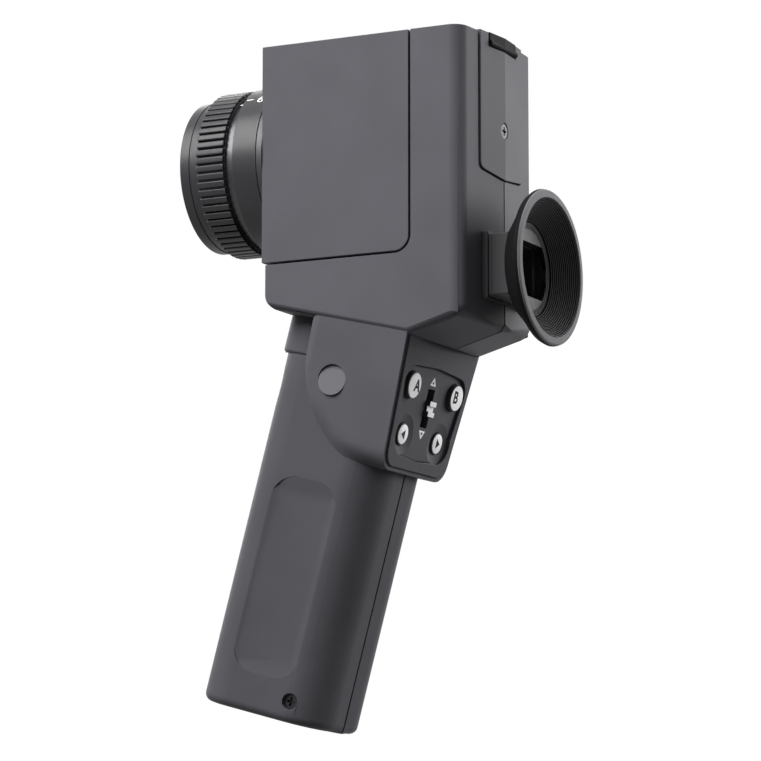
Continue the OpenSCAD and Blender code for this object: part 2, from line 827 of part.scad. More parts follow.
module palm_cut(side) {
    slope = 6;
    side_slope = 3.4;
    floor_y = half_grip - palm_depth;
    rise = palm_depth + over;
    floor_w = palm_w / 2 - side_slope;
    top_w = floor_w + side_slope * rise / palm_depth;
    intersection() {
        translate([0, 0, palm_z + palm_h / 2]) along_y(reach) round_rect(palm_w / 2, palm_h / 2, palm_r);
        linear_extrude(reach) polygon([[-floor_w, side * floor_y], [floor_w, side * floor_y],
            [top_w, side * (floor_y + rise)], [-top_w, side * (floor_y + rise)]]);
        along_x(-reach, reach) polygon([[side * floor_y, palm_z + slope],
            [side * floor_y, palm_z + palm_h - slope],
            [side * (floor_y + rise), palm_z + palm_h - slope + slope * rise / palm_depth],
            [side * (floor_y + rise), palm_z + slope - slope * rise / palm_depth]]);
    }
}

module grip_cavity() {
    difference() {
        translate([0, 0, foot_t]) linear_extrude(reach) grip_section(-wall);
        block([-reach, trigger_pad_x], [-reach, reach],
            [trigger_z - trigger_pad_h / 2, trigger_z + trigger_pad_h / 2]);
    }
}

module trigger_outline(grow) {
    half_w = trigger_w / 2 + grow;
    half_h = trigger_h / 2 + grow;
    round_rect(half_w, half_h, half_w - touch);
}

module grip_inside() {
    // Ribs with a round seat that hold the cell
    for (z = concat(cell_rib_z, contact_z + contact_t))
        translate([0, 0, z]) linear_extrude(cell_rib_t) grip_section(-wall + touch);
    // Boss around the tripod bush
    translate([socket_back, 0, 0]) cylinder(bush_len + foot_t / 2, r = bush_boss_r);
    // Boss for the cross screw in the foot
    translate([grip_screw_x, 0, grip_screw_z]) rod_y(-half_grip + wall / 2, half_grip - wall / 2, grip_boss_r);
    // Boss for the collar screw
    translate([screw_x, 0, screw_z]) rod_y(-half_grip + wall / 2, half_grip - wall / 2,
        collar_screw_r + 1.6);
    // Ribs that hold the trigger switch from both sides
    for (side = [-1, 1])
        block([switch_face_x, switch_face_x + trigger_switch_t - 1],
            side < 0 ? [-half_grip + wall / 2, -trigger_switch_w / 2 - touch]
                : [trigger_switch_w / 2 + touch, half_grip - wall / 2],
            [trigger_z - switch_rib_t / 2, trigger_z + switch_rib_t / 2]);
}

module grip_half(side) {
    in_grip()
        intersection() {
            difference() {
                union() {
                    difference() {
                        grip_form(0);
                        grip_cavity();
                        difference() {
                            parting_slab();
                            grip_form(-groove_depth);
                        }
                    }
                    grip_inside();
                }
                above_belly(fit_gap);
                palm_cut(-1);
                palm_cut(1);
                // Room for the keypad behind the neck
                block([keypad_bay, reach], [-reach, reach], [collar_z + 1.5, reach]);
                // Cell, cap and bush
                translate([cell_x, 0, foot_t]) cylinder(cell_z - foot_t + cell_len + contact_t,
                    r = cell_d / 2 + cell_tube_gap);
                translate([cell_x, 0, -over]) cylinder(foot_t + 2 * over, r = cap_d / 2);
                translate([socket_back, 0, -over]) cylinder(bush_len + over, r = bush_d / 2);
                block([cell_x - contact_w / 2, cell_x + contact_w / 2],
                    [-contact_w / 2, contact_w / 2], [contact_z, contact_z + contact_t + touch]);
                // Trigger window
                along_x(-reach, trigger_pad_x + over) translate([0, trigger_z]) trigger_outline(fit_gap);
                // Screws
                translate([grip_screw_x, 0, grip_screw_z]) {
                    rod_y(-reach, half_grip - wall, grip_screw_r + touch);
                    rod_y(-reach, -half_grip + grip_screw_sink + grip_screw_head_l + touch,
                        grip_screw_head_r + fit_gap);
                }
                translate([screw_x, 0, screw_z]) rod_y(-reach, reach, collar_screw_r + touch);
            }
            half_space(side);
        }
}

module head_half(side) {
    intersection() {
        difference() {
            union() {
                in_head() {
                    difference() {
                        head_form(0);
                        head_form(wall);
                        cover_zone(seam_gap);
                        difference() {
                            parting_slab();
                            head_form(groove_depth);
                        }
                    }
                    lips();
                    head_ledges();
                    board_posts();
                    head_bosses();
                }
                difference() {
                    in_grip() collar_form();
                    in_head() head_form(wall);
                }
                // Bridge behind the panel that takes its screw
                if (side < 0)
                    in_head() {
                        block([bridge_x - bridge_t, bridge_x], [-panel_w / 2, bridge_end],
                            [panel_screw_z - bridge_h / 2, panel_screw_z + bridge_h / 2]);
                        block([bridge_x - bridge_t, bridge_x + 0.7], [-panel_w / 2 - 2, -panel_w / 2 + panel_ledge],
                            [panel_screw_z - bridge_h / 2, panel_screw_z + bridge_h / 2]);
                    }
            }
            in_head() head_cuts(side);
            in_grip() {
                difference() {
                    grip_form(fit_gap);
                    above_belly(0);
                }
                difference() {
                    keypad_room();
                    above_head_floor(0);
                }
                cylinder(grip_len + 3 * wall, r = wire_hole_r);
                translate([screw_x, 0, screw_z]) {
                    rod_y(-reach, collar_head_y, collar_screw_r + touch);
                    rod_y(-reach, -collar_head_y, collar_screw_head_r + fit_gap);
                }
                for (end = [-1, 1])
                    plug_axis(end) plug_seat(end);
            }
        }
        if (side < 0)
            union() {
                half_space(side);
                in_head() block([head_len - 9, head_len - 2], [0, bridge_end],
                    [panel_screw_z - bridge_h / 2, panel_screw_z + bridge_h / 2]);
            }
        else
            half_space(side);
    }
}

module plug_seat(side) {
    depth = plug_t + plug_sink + touch;
    if (side < 0)
        rod_y(-over, depth, plug_d / 2 + plug_gap);
    else
        rod_y(-depth, over, plug_d / 2 + plug_gap);
}

module head_cuts(side) {
    // Rebate of the back panel, and the opening behind it
    difference() {
        panel_zone(seam_gap / 2);
        rear_form(panel_sink + touch);
    }
    difference() {
        along_x(head_len - panel_wrap - wall, reach)
            round_poly([[-panel_w / 2 + panel_ledge, head_top - panel_ledge - wall],
                [-panel_w / 2 + panel_ledge, -panel_drop + panel_ledge],
                [panel_w / 2 - panel_ledge, -panel_drop + panel_ledge],
                [panel_w / 2 - panel_ledge, head_top - panel_ledge - wall]],
                [panel_corner_r, panel_corner_r, panel_corner_r, panel_corner_r]);
        if (side < 0)
            block([0, bridge_x], [-panel_w, bridge_end],
                [panel_screw_z - bridge_h / 2, panel_screw_z + bridge_h / 2]);
    }
    translate([0, 0, panel_screw_z]) rod_x(head_len - 9, head_len, panel_screw_r + touch);
    // Pocket of the port flap, and the port
    difference() {
        block([flap_x - seam_gap / 2, reach], [-flap_w / 2 - seam_gap / 2, flap_w / 2 + seam_gap / 2],
            [flap_z, reach]);
        rear_form(flap_in + touch);
    }
    block([board_back_x - touch, board_back_x + usb_t + touch], [-usb_w / 2 - touch, usb_w / 2 + touch],
        [head_top - 2 * wall, head_top + over]);
    // Window of the eyepiece
    translate([0, 0, -eye_drop]) along_x(head_len / 2, reach)
        round_rect(eye_w / 2 + fit_gap, eye_h / 2 + fit_gap, least_r);
    // Screws through both halves, with their heads on the right
    for (at = head_screw_at)
        translate([at[0], 0, at[1]]) {
            rod_y(-half_head + wall, half_head, head_screw_r + touch);
            rod_y(half_head - wall - head_screw_seat, half_head + over, head_screw_head_r + fit_gap);
        }
    for (z = board_post_z)
        for (end = [-1, 1])
            translate([0, end * board_post_y, z]) rod_x(0, board_back_x + 3, board_screw_r + touch);
    for (x = chassis_screw_x)
        for (end = [-1, 1])
            translate([x, end * chassis_screw_y, -chassis_foot - ledge_t + ledge_skin])
                cylinder(ledge_t, r = chassis_screw_r + touch);
}

// Outer casing

module front_cover()
    color(anthracite) in_head()
        difference() {
            along_y(head_w) round_poly([[0, head_top], [0, -cover_drop], [cover_len, -cover_drop],
                [cover_len, head_top]], [0, 0, cover_corner_r, 0]);
            block([cover_wall, reach], [-half_head + cover_wall, half_head - cover_wall],
                [-reach, head_top - cover_wall]);
            rod_x(-over, cover_wall + over, spigot_r + 2 * fit_gap);
            flange_holes(cover_wall + over, flange_screw_r + fit_gap);
        }

module head_left() color(anthracite) head_half(-1);
module head_right() color(anthracite) head_half(1);

module head_screws()
    color(steel) in_head()
        for (at = head_screw_at)
            translate([at[0], half_head - wall - head_screw_seat + touch + head_screw_head_l, at[1]])
                rotate([0, 0, -90])
                    cross_screw(head_screw_head_r, head_screw_head_l, head_screw_r, half_head + head_screw_past);

module rear_panel()
    color(anthracite) in_head()
        difference() {
            union() {
                intersection() {
                    difference() {
                        rear_form(-panel_proud);
                        rear_form(panel_sink);
                    }
                    panel_zone(-seam_gap / 4);
                }
                translate([0, 0, panel_screw_z])
                    rod_x(head_len - panel_sink - panel_boss_l + touch, head_len - panel_sink + touch, panel_boss_r);
            }
            translate([0, 0, panel_screw_z]) {
                rod_x(head_len - 6, reach, panel_screw_r + fit_gap);
                rod_x(head_len + panel_proud - panel_screw_sink - panel_screw_head_l - touch, reach,
                    panel_screw_head_r + fit_gap);
            }
            block([flap_x - seam_gap / 2, reach], [-flap_w / 2 - seam_gap / 2, flap_w / 2 + seam_gap / 2],
                [flap_z - fit_gap, reach]);
        }

module rear_panel_screw()
    color(steel) in_head()
        translate([head_len + panel_proud - panel_screw_sink, 0, panel_screw_z]) rotate([0, 180, 0])
            cross_screw(panel_screw_head_r, panel_screw_head_l, panel_screw_r, panel_screw_l);

module port_flap()
    color(rubber_black) in_head() {
        translate([flap_hinge_x, 0, flap_z + flap_bead_r]) rod_y(-flap_w / 2, flap_w / 2, flap_bead_r);
        intersection() {
            difference() {
                rear_form(-flap_proud);
                rear_form(flap_in);
            }
            block([flap_x, reach], [-flap_w / 2, flap_w / 2], [flap_z + flap_bead_r, reach]);
        }
    }

// Electronics behind the back panel

module main_board()
    color(board_green) in_head()
        difference() {
            block([board_x, board_back_x], [-board_w / 2, board_w / 2], [-board_drop, board_top]);
            for (z = board_post_z)
                for (side = [-1, 1])
                    translate([0, side * board_post_y, z]) rod_x(board_x - over, board_back_x + over,
                        board_screw_r + fit_gap);
        }

module board_screws()
    color(steel) in_head()
        for (z = board_post_z)
            for (side = [-1, 1])
                translate([board_x - touch - board_screw_head_l, side * board_post_y, z])
                    cross_screw(board_screw_head_r, board_screw_head_l, board_screw_r, board_screw_l);

module usb_socket()
    color(steel) in_head()
        difference() {
            block([board_back_x + hair, board_back_x + usb_t], [-usb_w / 2, usb_w / 2],
                [usb_top - usb_l, usb_top]);
            block([board_back_x + 0.5, board_back_x + usb_t - 0.4], [-usb_w / 2 + 0.4, usb_w / 2 - 0.4],
                [usb_top - usb_l + 2.5, usb_top + over]);
        }

// Lens

module flange_holes(depth, r) {
    for (y = [-flange_screw_y, flange_screw_y])
        for (z = [-flange_screw_y, flange_screw_y])
            translate([0, y, z]) rod_x(-depth, depth, r);
}

module lens_flange()
    color(steel) in_head()
        difference() {
            union() {
                rod_x(-flange_t, 0, flange_r);
                rod_x(-touch, chassis_side_x, spigot_r);
            }
            rod_x(-flange_t - over, chassis_side_x + over, spigot_bore_r);
            flange_holes(reach, flange_screw_r + touch);
            translate([-flange_t - reach + flange_screw_head_l + touch, 0, 0])
                flange_holes(reach, flange_screw_head_r + fit_gap);
        }

module flange_screws()
    color(steel) in_head()
        for (y = [-flange_screw_y, flange_screw_y])
            for (z = [-flange_screw_y, flange_screw_y])
                translate([-flange_t, y, z]) cross_screw(flange_screw_head_r, flange_screw_head_l,
                    flange_screw_r, flange_t + chassis_side_x - 0.3);

module lens_barrel()
    color(black_metal) in_head()
        difference() {
            spin_x() polygon([[barrel_back - hair, spigot_bore_r], [barrel_back - hair, barrel_r],
                [barrel_front, barrel_r], [barrel_front, tube_r], [rib_front + 0.5, tube_r],
                [rib_front + 0.5, tube_bore_r], [barrel_wall_x, tube_bore_r], [barrel_wall_x, spigot_bore_r]]);
            translate([guide_pin_x, 0, -barrel_r]) cylinder(barrel_r, r = guide_pin_r + hair);
        }

module focus_ring()
    color(black_metal) in_head()
        difference() {
            union() {
                rod_x(rib_front, rib_back, rib_core_r);
                for (i = [0 : rib_count - 1])
                    rotate([i * 360 / rib_count, 0, 0]) translate([0, 0, rib_centre_r])
                        rod_x(rib_front + rib_r / 2, rib_back - rib_r / 2, rib_r);
                rod_x(rib_back - touch, skirt_back, skirt_r);
            }
            rod_x(rib_front - over, skirt_back + over, tube_r + run_gap);
        }

module lens_cell()
    color(black_metal) in_head()
        difference() {
            spin_x() polygon([[cell_front, filter_thread_r], [cell_front, cell_flange_r],
                [cell_flange_back, cell_flange_r], [cell_flange_back, cell_r], [cell_back, cell_r],
                [cell_back, back_glass_r + touch], [back_glass_front, back_glass_r + touch],
                [back_glass_front, cell_mid_r], [front_glass_back, cell_mid_r],
                [front_glass_back, cell_bore_r], [cell_flange_back - 0.6, cell_bore_r],
                [cell_flange_back - 0.6, filter_thread_r]]);
            block([guide_pin_x - guide_pin_r - touch, guide_pin_x + guide_pin_r + focus_travel + touch],
                [-guide_pin_r - touch, guide_pin_r + touch], [-cell_r - over, -cell_r + guide_slot_depth]);
        }

module guide_pin()
    color(steel) in_head()
        translate([guide_pin_x, 0, -tube_r + hair]) cylinder(tube_r - hair - cell_r + guide_slot_depth - 0.2,
            r = guide_pin_r);

module front_element()
    color(glass_tint) in_head()
        intersection() {
            rod_x(front_glass_back - front_glass_t, front_glass_back, front_glass_r);
            translate([front_glass_back - front_glass_t + front_glass_curve, 0, 0])
                sphere(front_glass_curve, $fn = fine);
        }

module rear_element()
    color(glass_tint) in_head()
        intersection() {
            rod_x(back_glass_front, back_glass_front + back_glass_t, back_glass_r);
            translate([back_glass_front + back_glass_t - back_glass_curve, 0, 0]) sphere(back_glass_curve, $fn = fine);
        }

module retaining_ring()
    color(black_metal) in_head()
        difference() {
            rod_x(retaining_back - retaining_l, retaining_back, front_glass_r);
            rod_x(retaining_back - retaining_l - over, retaining_back + over, retaining_r);
        }

module filter_ring()
    color(black_metal) in_head()
        spin_x() polygon([[filter_front, filter_thread_r], [filter_front, filter_r],
            [filter_back, filter_r], [filter_back, filter_spigot_r],
            [filter_back + filter_spigot_l, filter_spigot_r],
            [filter_back + filter_spigot_l, filter_spigot_bore_r], [filter_back + 0.2, filter_spigot_bore_r],
            [filter_back + 0.2, filter_seat_r], [filter_glass_x, filter_seat_r],
            [filter_glass_x, filter_thread_r]]);

module filter_glass()
    color(glass_tint) in_head() rod_x(filter_glass_x + hair, filter_back + 0.2 - hair, filter_glass_r);

// Optics inside the head

module optics_chassis()
    color(black_metal) in_head()
        difference() {
            union() {
                block([chassis_front, chassis_side_x], [-front_plate_half, front_plate_half],
                    [-front_plate_foot, chassis_top]);
                for (side = [-1, 1]) {
                    block([chassis_side_x - touch, chassis_back],
                        side < 0 ? [-chassis_half, -chassis_inner] : [chassis_inner, chassis_half],
                        [-chassis_foot, chassis_top]);
                    block([chassis_side_x, cover_len - 4],
                        side < 0 ? [-chassis_half - chassis_flange_w, -chassis_inner]
                            : [chassis_inner, chassis_half + chassis_flange_w],
                        [-chassis_foot, -chassis_foot + plate_t]);
                }
                block([chassis_back - plate_t, chassis_back], [-chassis_half, chassis_half],
                    [-sensor_plate_h / 2, sensor_plate_h / 2]);
            }
            rod_x(0, chassis_side_x + over, spigot_r + touch);
            flange_holes(chassis_side_x + over, flange_screw_r + hair);
            for (x = chassis_screw_x)
                for (side = [-1, 1])
                    translate([x, side * chassis_screw_y, -chassis_foot - over])
                        cylinder(plate_t + 2 * over, r = chassis_screw_r + fit_gap);
        }

module chassis_screws()
    color(steel) in_head()
        for (x = chassis_screw_x)
            for (side = [-1, 1])
                translate([x, side * chassis_screw_y, -chassis_foot + plate_t + touch + chassis_screw_head_l])
                    rotate([0, 90, 0])
                        cross_screw(chassis_screw_head_r, chassis_screw_head_l, chassis_screw_r,
                            chassis_screw_l);

// A mirror plate at 45 degrees whose coated face passes through its axis
module mirror_plate(length) {
    half_w = chassis_inner - chassis_gap;
    rotate([0, 45, 0]) block([-length / 2, length / 2], [-half_w, half_w], [-mirror_t / 2, mirror_t / 2]);
}

module main_mirror() color("#c4ccd2") in_head() translate([mirror_x, 0, 0]) mirror_plate(mirror_l);
module lower_mirror() color("#c4ccd2") in_eye() translate([mirror_x, 0, 0]) mirror_plate(lower_mirror_l);

module focusing_screen()
    color("#d9e0e2") in_head()
        block([mirror_x - screen_l / 2, mirror_x + screen_l / 2],
            [-chassis_inner + chassis_gap, chassis_inner - chassis_gap], [screen_z, screen_z + screen_t]);

module display_module()
    color("#6f7f78") in_head()
        block([mirror_x + screen_l / 2 + chassis_gap, mirror_x + screen_l / 2 + display_l],
            [-display_w / 2, display_w / 2], [screen_z, screen_z + screen_t]);

module sensor_board()
    color(board_green) in_head()
        block([sensor_x, sensor_x + sensor_board_t - hair], [-sensor_board_w / 2, sensor_board_w / 2],
            [-sensor_board_w / 2, sensor_board_w / 2]);

module photodiode()
    color(brass) in_head() rod_x(sensor_x - photodiode_l, sensor_x - hair, photodiode_r);

module photopic_filter()
    color("#7fa07a") in_head()
        rod_x(sensor_x - photodiode_l - photopic_t, sensor_x - photodiode_l - touch, photopic_r);

module sensor_hood()
    color(black_metal) in_head()
        difference() {
            rod_x(sensor_x - photodiode_l - photopic_t - 1.2, sensor_x - hair, hood_r);
            rod_x(sensor_x - reach, sensor_x, photopic_r + hair);
        }

// Eyepiece

module eyepiece_block()
    color(black_metal) in_eye()
        difference() {
            union() {
                along_x(eye_in, eye_out) round_rect(eye_w / 2, eye_h / 2, least_r);
                difference() {
                    along_x(eye_flange_out - eye_flange_root, eye_flange_out)
                        round_rect(eye_w / 2 + eye_flange_edge, eye_h / 2 + eye_flange_edge, least_r);
                    translate([0, 0, eye_drop]) rear_form(-touch);
                }
                along_x(eye_stop_x - eye_stop_t, eye_stop_x)
                    round_rect(eye_w / 2 + eye_stop_edge, eye_h / 2 + eye_stop_edge, least_r);
            }
            rod_x(eye_in - over, eye_out + over, eye_bore_r);
            along_x(eye_out - eye_window_depth, eye_out + over)
                round_rect(eye_window_w / 2, eye_window_h / 2, least_r);
        }

module eyepiece_lens()
    color(glass_tint) in_eye()
        intersection() {
            rod_x(eye_lens_x, eye_lens_x + eye_lens_t, eye_bore_r - touch);
            translate([eye_lens_x + eye_lens_t - eye_lens_curve, 0, 0]) sphere(eye_lens_curve, $fn = fine);
        }

module eyecup_frame()
    color(black_metal) in_eye()
        difference() {
            along_x(eye_frame_x, eye_frame_back) round_rect(eye_w / 2, eye_h / 2, least_r);
            along_x(eye_frame_x - over, eye_frame_back + over)
                round_rect(eye_window_w / 2, eye_window_h / 2, least_r);
            along_x(eye_frame_x + eye_frame_plate, eye_frame_back + over)
                round_rect(eye_w / 2 - eye_rim, eye_h / 2 - eye_rim, least_r);
        }

module eyecup()
    color(rubber_black) in_eye()
        difference() {
            spin_x() polygon([[eyecup_x + hair, 0], [eyecup_x + hair, eyecup_root_r],
                [eyecup_x + eyecup_l - eyecup_lip, eyecup_r], [eyecup_x + eyecup_l - 0.5, eyecup_r - 0.3],
                [eyecup_x + eyecup_l, eyecup_r - 1.2], [eyecup_x + eyecup_l - 0.2, eyecup_r - eyecup_lip - 0.6],
                [eyecup_x + eyecup_flange_t, eyecup_root_r - eyecup_wall], [eyecup_x + eyecup_flange_t, 0]]);
            along_x(eyecup_x - over, eyecup_x + eyecup_flange_t + over)
                round_rect(eye_w / 2 - eye_rim, eye_h / 2 - eye_rim, least_r);
        }

// Collar fixings and keypad

module collar_screw()
    color(steel) in_grip()
        translate([screw_x, -collar_head_y - collar_screw_head_l, screw_z]) rotate([0, 0, 90])
            cross_screw(collar_screw_head_r, collar_screw_head_l, collar_screw_r,
                2 * collar_head_y + collar_screw_head_l - 0.2);

module collar_plugs()
    color(dark_plastic) in_grip()
        for (side = [-1, 1])
            plug_axis(side)
                if (side < 0)
                    rod_y(plug_sink, plug_sink + plug_t, plug_d / 2);
                else
                    rod_y(-plug_sink - plug_t, -plug_sink, plug_d / 2);

module pad_outline() {
    arch = 1.2;
    top = pad_z + pad_h;
    round_poly([[0, pad_z], [pad_bottom_w / 2, pad_z + arch], [pad_top_w / 2, top - arch], [0, top],
        [-pad_top_w / 2, top - arch], [-pad_bottom_w / 2, pad_z + arch]],
        [0, pad_corner_r, pad_corner_r, 0, pad_corner_r, pad_corner_r]);
}

module button_places() {
    for (side = [-1, 1]) {
        translate([0, side * large_button_y, large_button_z]) children(0);
        translate([0, side * small_button_y, small_button_z]) children(1);
    }
}

module control_housing()
    color(dark_plastic) in_grip()
        difference() {
            union() {
                intersection() {
                    plate_room(0);
                    block([-reach, frame_back], [-reach, reach], [-reach, reach]);
                }
                difference() {
                    along_x(tub_front, plate_back + touch) tub_outline(0);
                    along_x(tub_front - over, plate_back) tub_outline(-tub_t);
                }
                for (at = keypad_screw_at)
                    for (side = [-1, 1])
                        intersection() {
                            translate([0, side * at[0], at[1]]) rod_x(tub_front, plate_back + touch, keypad_boss_r);
                            along_x(tub_front, plate_back + touch) tub_outline(0);
                        }
            }
            along_x(pad_floor, reach) pad_outline();
            button_places() {
                rod_x(0, reach, large_button_d / 2 + button_gap);
                union() {
                    rod_x(0, reach, small_button_d / 2 + button_gap);
                    intersection() {
                        translate([pad_floor + dish_curve - dish_depth, 0, 0]) sphere(dish_curve, $fn = fine);
                        rod_x(0, reach, dish_r);
                    }
                }
            }
            block([plate_back - over, reach], [-lever_slot_w / 2, lever_slot_w / 2],
                [lever_z - lever_slot_l / 2, lever_z + lever_slot_l / 2]);
            for (at = keypad_screw_at)
                for (side = [-1, 1])
                    translate([0, side * at[0], at[1]]) rod_x(0, plate_back - 0.8, keypad_screw_r + touch);
            // The plate ends where the underside of the head begins
            above_head_floor(fit_gap);
        }

module keypad_board()
    color(board_green) in_grip()
        difference() {
            along_x(keypad_x - keypad_t, keypad_x) tub_outline(0);
            for (at = keypad_screw_at)
                for (side = [-1, 1])
                    translate([0, side * at[0], at[1]]) rod_x(0, reach, keypad_screw_r + fit_gap);
        }

module keypad_screws()
    color(steel) in_grip()
        for (at = keypad_screw_at)
            for (side = [-1, 1])
                translate([keypad_x - keypad_t - touch - keypad_screw_head_l, side * at[0], at[1]])
                    cross_screw(keypad_screw_head_r, keypad_screw_head_l, keypad_screw_r, keypad_screw_l);

module key_mat()
    color(rubber_black) in_grip()
        difference() {
            intersection() {
                along_x(keypad_x + hair, keypad_x + mat_t) tub_outline(-mat_edge);
                block([-reach, reach], [-reach, reach], [keypad_screw_at[0][1] + keypad_boss_r + mat_gap,
                    keypad_screw_at[1][1] - keypad_boss_r - mat_gap]);
            }
            block([-reach, reach], [-switch_w / 2 - touch, switch_w / 2 + touch],
                [lever_z - switch_l / 2 - touch, lever_z + switch_l / 2 + touch]);
        }

module push_button(y, z, d, proud)
    color(key_grey) in_grip() {
        intersection() {
            translate([0, y, z]) rod_x(button_root - button_flange_t, button_root, d / 2 + button_flange_edge);
            along_x(button_root - reach, button_root + reach) tub_outline(-tub_t - button_gap);
        }
        translate([0, y, z]) rod_x(button_root - touch, pad_floor + proud, d / 2);
    }

module button_a() push_button(-large_button_y, large_button_z, large_button_d, large_button_proud);
module button_b() push_button(large_button_y, large_button_z, large_button_d, large_button_proud);
module button_left() push_button(-small_button_y, small_button_z, small_button_d, 0);
module button_right() push_button(small_button_y, small_button_z, small_button_d, 0);

module lever_switch()
    color(steel) in_grip()
        block([keypad_x + hair, plate_back - lever_foot_t - 3 * touch], [-switch_w / 2, switch_w / 2],
            [lever_z - switch_l / 2, lever_z + switch_l / 2]);

module lever()
    color(key_grey) in_grip()
        translate([0, 0, lever_z]) {
            half_w = lever_slot_w / 2 - fit_gap;
            block([plate_back - lever_foot_t - touch, plate_back - touch],
                [-lever_foot_w / 2, lever_foot_w / 2], [-lever_foot_l / 2, lever_foot_l / 2]);
            block([plate_back - 2 * touch, pad_floor + lever_proud - lever_step], [-half_w, half_w],
                [-lever_l / 2, lever_l / 2]);
            for (end = [-1, 1])
                translate([0, 0, end * (lever_l - 1.4) / 2])
                    block([pad_floor, pad_floor + lever_proud], [-half_w, half_w], [-0.7, 0.7]);
        }

// Grip and what it holds

module grip_left() color(dark_plastic) grip_half(-1);
module grip_right() color(dark_plastic) grip_half(1);

module grip_screw()
    color(steel) in_grip()
        translate([grip_screw_x, -half_grip + grip_screw_sink, grip_screw_z]) rotate([0, 0, 90])
            cross_screw(grip_screw_head_r, grip_screw_head_l, grip_screw_r,
                grip_width - wall - grip_screw_sink - 0.4);

module trigger()
    color(dark_plastic) in_grip()
        translate([0, 0, trigger_z]) {
            difference() {
                along_x(-half_depth - brow_proud, trigger_pad_x + 0.1 + touch) trigger_outline(0);
                translate([trigger_floor_x - hollow_r, 0, 0]) rod_y(-reach, reach, hollow_r - trigger_proud);
            }
            along_x(trigger_pad_x + 0.1, trigger_back) trigger_outline(trigger_flange_edge);
            rod_x(trigger_back - touch, plunger_tip, trigger_plunger_r);
        }

module trigger_switch()
    color("#26262a") in_grip()
        block([switch_face_x, switch_face_x + trigger_switch_t],
            [-trigger_switch_w / 2, trigger_switch_w / 2],
            [trigger_z - trigger_switch_h / 2, trigger_z + trigger_switch_h / 2]);

module battery()
    color("#50524f") in_grip()
        translate([cell_x, 0, cell_z]) {
            nub_l = 1;
            cylinder(cell_len - nub_l, r = cell_d / 2);
            cylinder(cell_len, r = cell_d * 0.19);
        }

module top_contact()
    color(steel) in_grip()
        block([cell_x - contact_w / 2 + touch, cell_x + contact_w / 2 - touch],
            [-contact_w / 2 + touch, contact_w / 2 - touch], [contact_z, contact_z + contact_t]);

module battery_spring()
    color(steel) in_grip()
        translate([cell_x, 0, foot_t - 0.5 + hair]) rotate([0, -90, 0])
            coil(cell_coil_r, spring_wire_r, cell_turns, cell_z - foot_t + 0.5 - 2 * hair);

module battery_cap()
    color(dark_plastic) in_grip()
        translate([cell_x, 0, 0])
            difference() {
                cylinder(foot_t - 0.5, r = cap_d / 2 - run_gap);
                block([-1, 1], [-cap_d / 2 + 2, cap_d / 2 - 2], [-over, 1.2]);
            }

module tripod_bush()
    color(brass) in_grip()
        translate([socket_back, 0, 0])
            difference() {
                cylinder(bush_len - hair, r = bush_d / 2 - hair);
                translate([0, 0, -over]) cylinder(bush_len + 2 * over, r = socket_r);
            }

front_cover();
head_left();
head_right();
head_screws();
rear_panel();
rear_panel_screw();
port_flap();
usb_socket();
main_board();
board_screws();
lens_flange();
flange_screws();
lens_barrel();
focus_ring();
lens_cell();
guide_pin();
front_element();
rear_element();
retaining_ring();
filter_ring();
filter_glass();
optics_chassis();
chassis_screws();
main_mirror();
lower_mirror();
focusing_screen();
display_module();
sensor_board();
photodiode();
photopic_filter();
sensor_hood();
eyepiece_block();
eyepiece_lens();
eyecup_frame();
eyecup();
collar_screw();
collar_plugs();
control_housing();
keypad_board();
keypad_screws();
key_mat();
button_a();
button_b();
button_left();
button_right();
lever_switch();
lever();
grip_left();
grip_right();
grip_screw();
trigger();
trigger_switch();
battery();
top_contact();
battery_spring();
battery_cap();
tripod_bush();
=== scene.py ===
# %% [markdown]
# A pistol-grip spot meter, dressed in Blender.
# The CAD model gives every piece its true size and place. This file gives the pieces their looks: moulded
# plastic with soft edges, black turned metal, rubber, glass, keys with marks, and a quiet studio around them.
# The first cell loads the CAD model as a fixed frame.

import json
import math

import bmesh
import bpy
from mathutils import Matrix, Vector
from mathutils.bvhtree import BVHTree

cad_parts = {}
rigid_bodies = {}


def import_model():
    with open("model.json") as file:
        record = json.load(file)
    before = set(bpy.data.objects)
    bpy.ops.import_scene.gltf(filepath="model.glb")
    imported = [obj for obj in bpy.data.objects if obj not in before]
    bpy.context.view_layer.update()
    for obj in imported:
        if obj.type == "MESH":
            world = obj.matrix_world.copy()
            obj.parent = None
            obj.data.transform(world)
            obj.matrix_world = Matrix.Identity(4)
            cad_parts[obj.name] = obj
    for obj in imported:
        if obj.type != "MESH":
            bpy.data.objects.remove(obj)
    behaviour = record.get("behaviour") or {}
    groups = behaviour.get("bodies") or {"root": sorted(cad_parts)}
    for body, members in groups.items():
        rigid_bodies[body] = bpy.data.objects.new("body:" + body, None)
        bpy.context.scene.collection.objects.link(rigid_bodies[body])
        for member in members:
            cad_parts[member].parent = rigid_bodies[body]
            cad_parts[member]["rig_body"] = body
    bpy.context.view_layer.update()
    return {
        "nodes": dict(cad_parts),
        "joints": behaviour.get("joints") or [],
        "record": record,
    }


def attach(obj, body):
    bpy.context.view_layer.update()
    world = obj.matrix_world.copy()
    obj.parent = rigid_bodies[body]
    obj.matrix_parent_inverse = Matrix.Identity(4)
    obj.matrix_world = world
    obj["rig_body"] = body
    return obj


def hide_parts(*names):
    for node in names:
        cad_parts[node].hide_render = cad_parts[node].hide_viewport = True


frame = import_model()
nodes = frame["nodes"]
body_of = {name: obj["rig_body"] for name, obj in nodes.items()}
slot_of = {row["node"]: row["material_slot"] for row in frame["record"]["subparts"]}

# %% [markdown]
# The object is easiest to describe in millimetres along its own lines: the lens axis for the head, the raked
# middle line for the grip, and the eyepiece axis for the eyecup. Three matrices carry those drawings into the
# part's frame in metres. Their places come from the record, so nothing is fitted by eye.

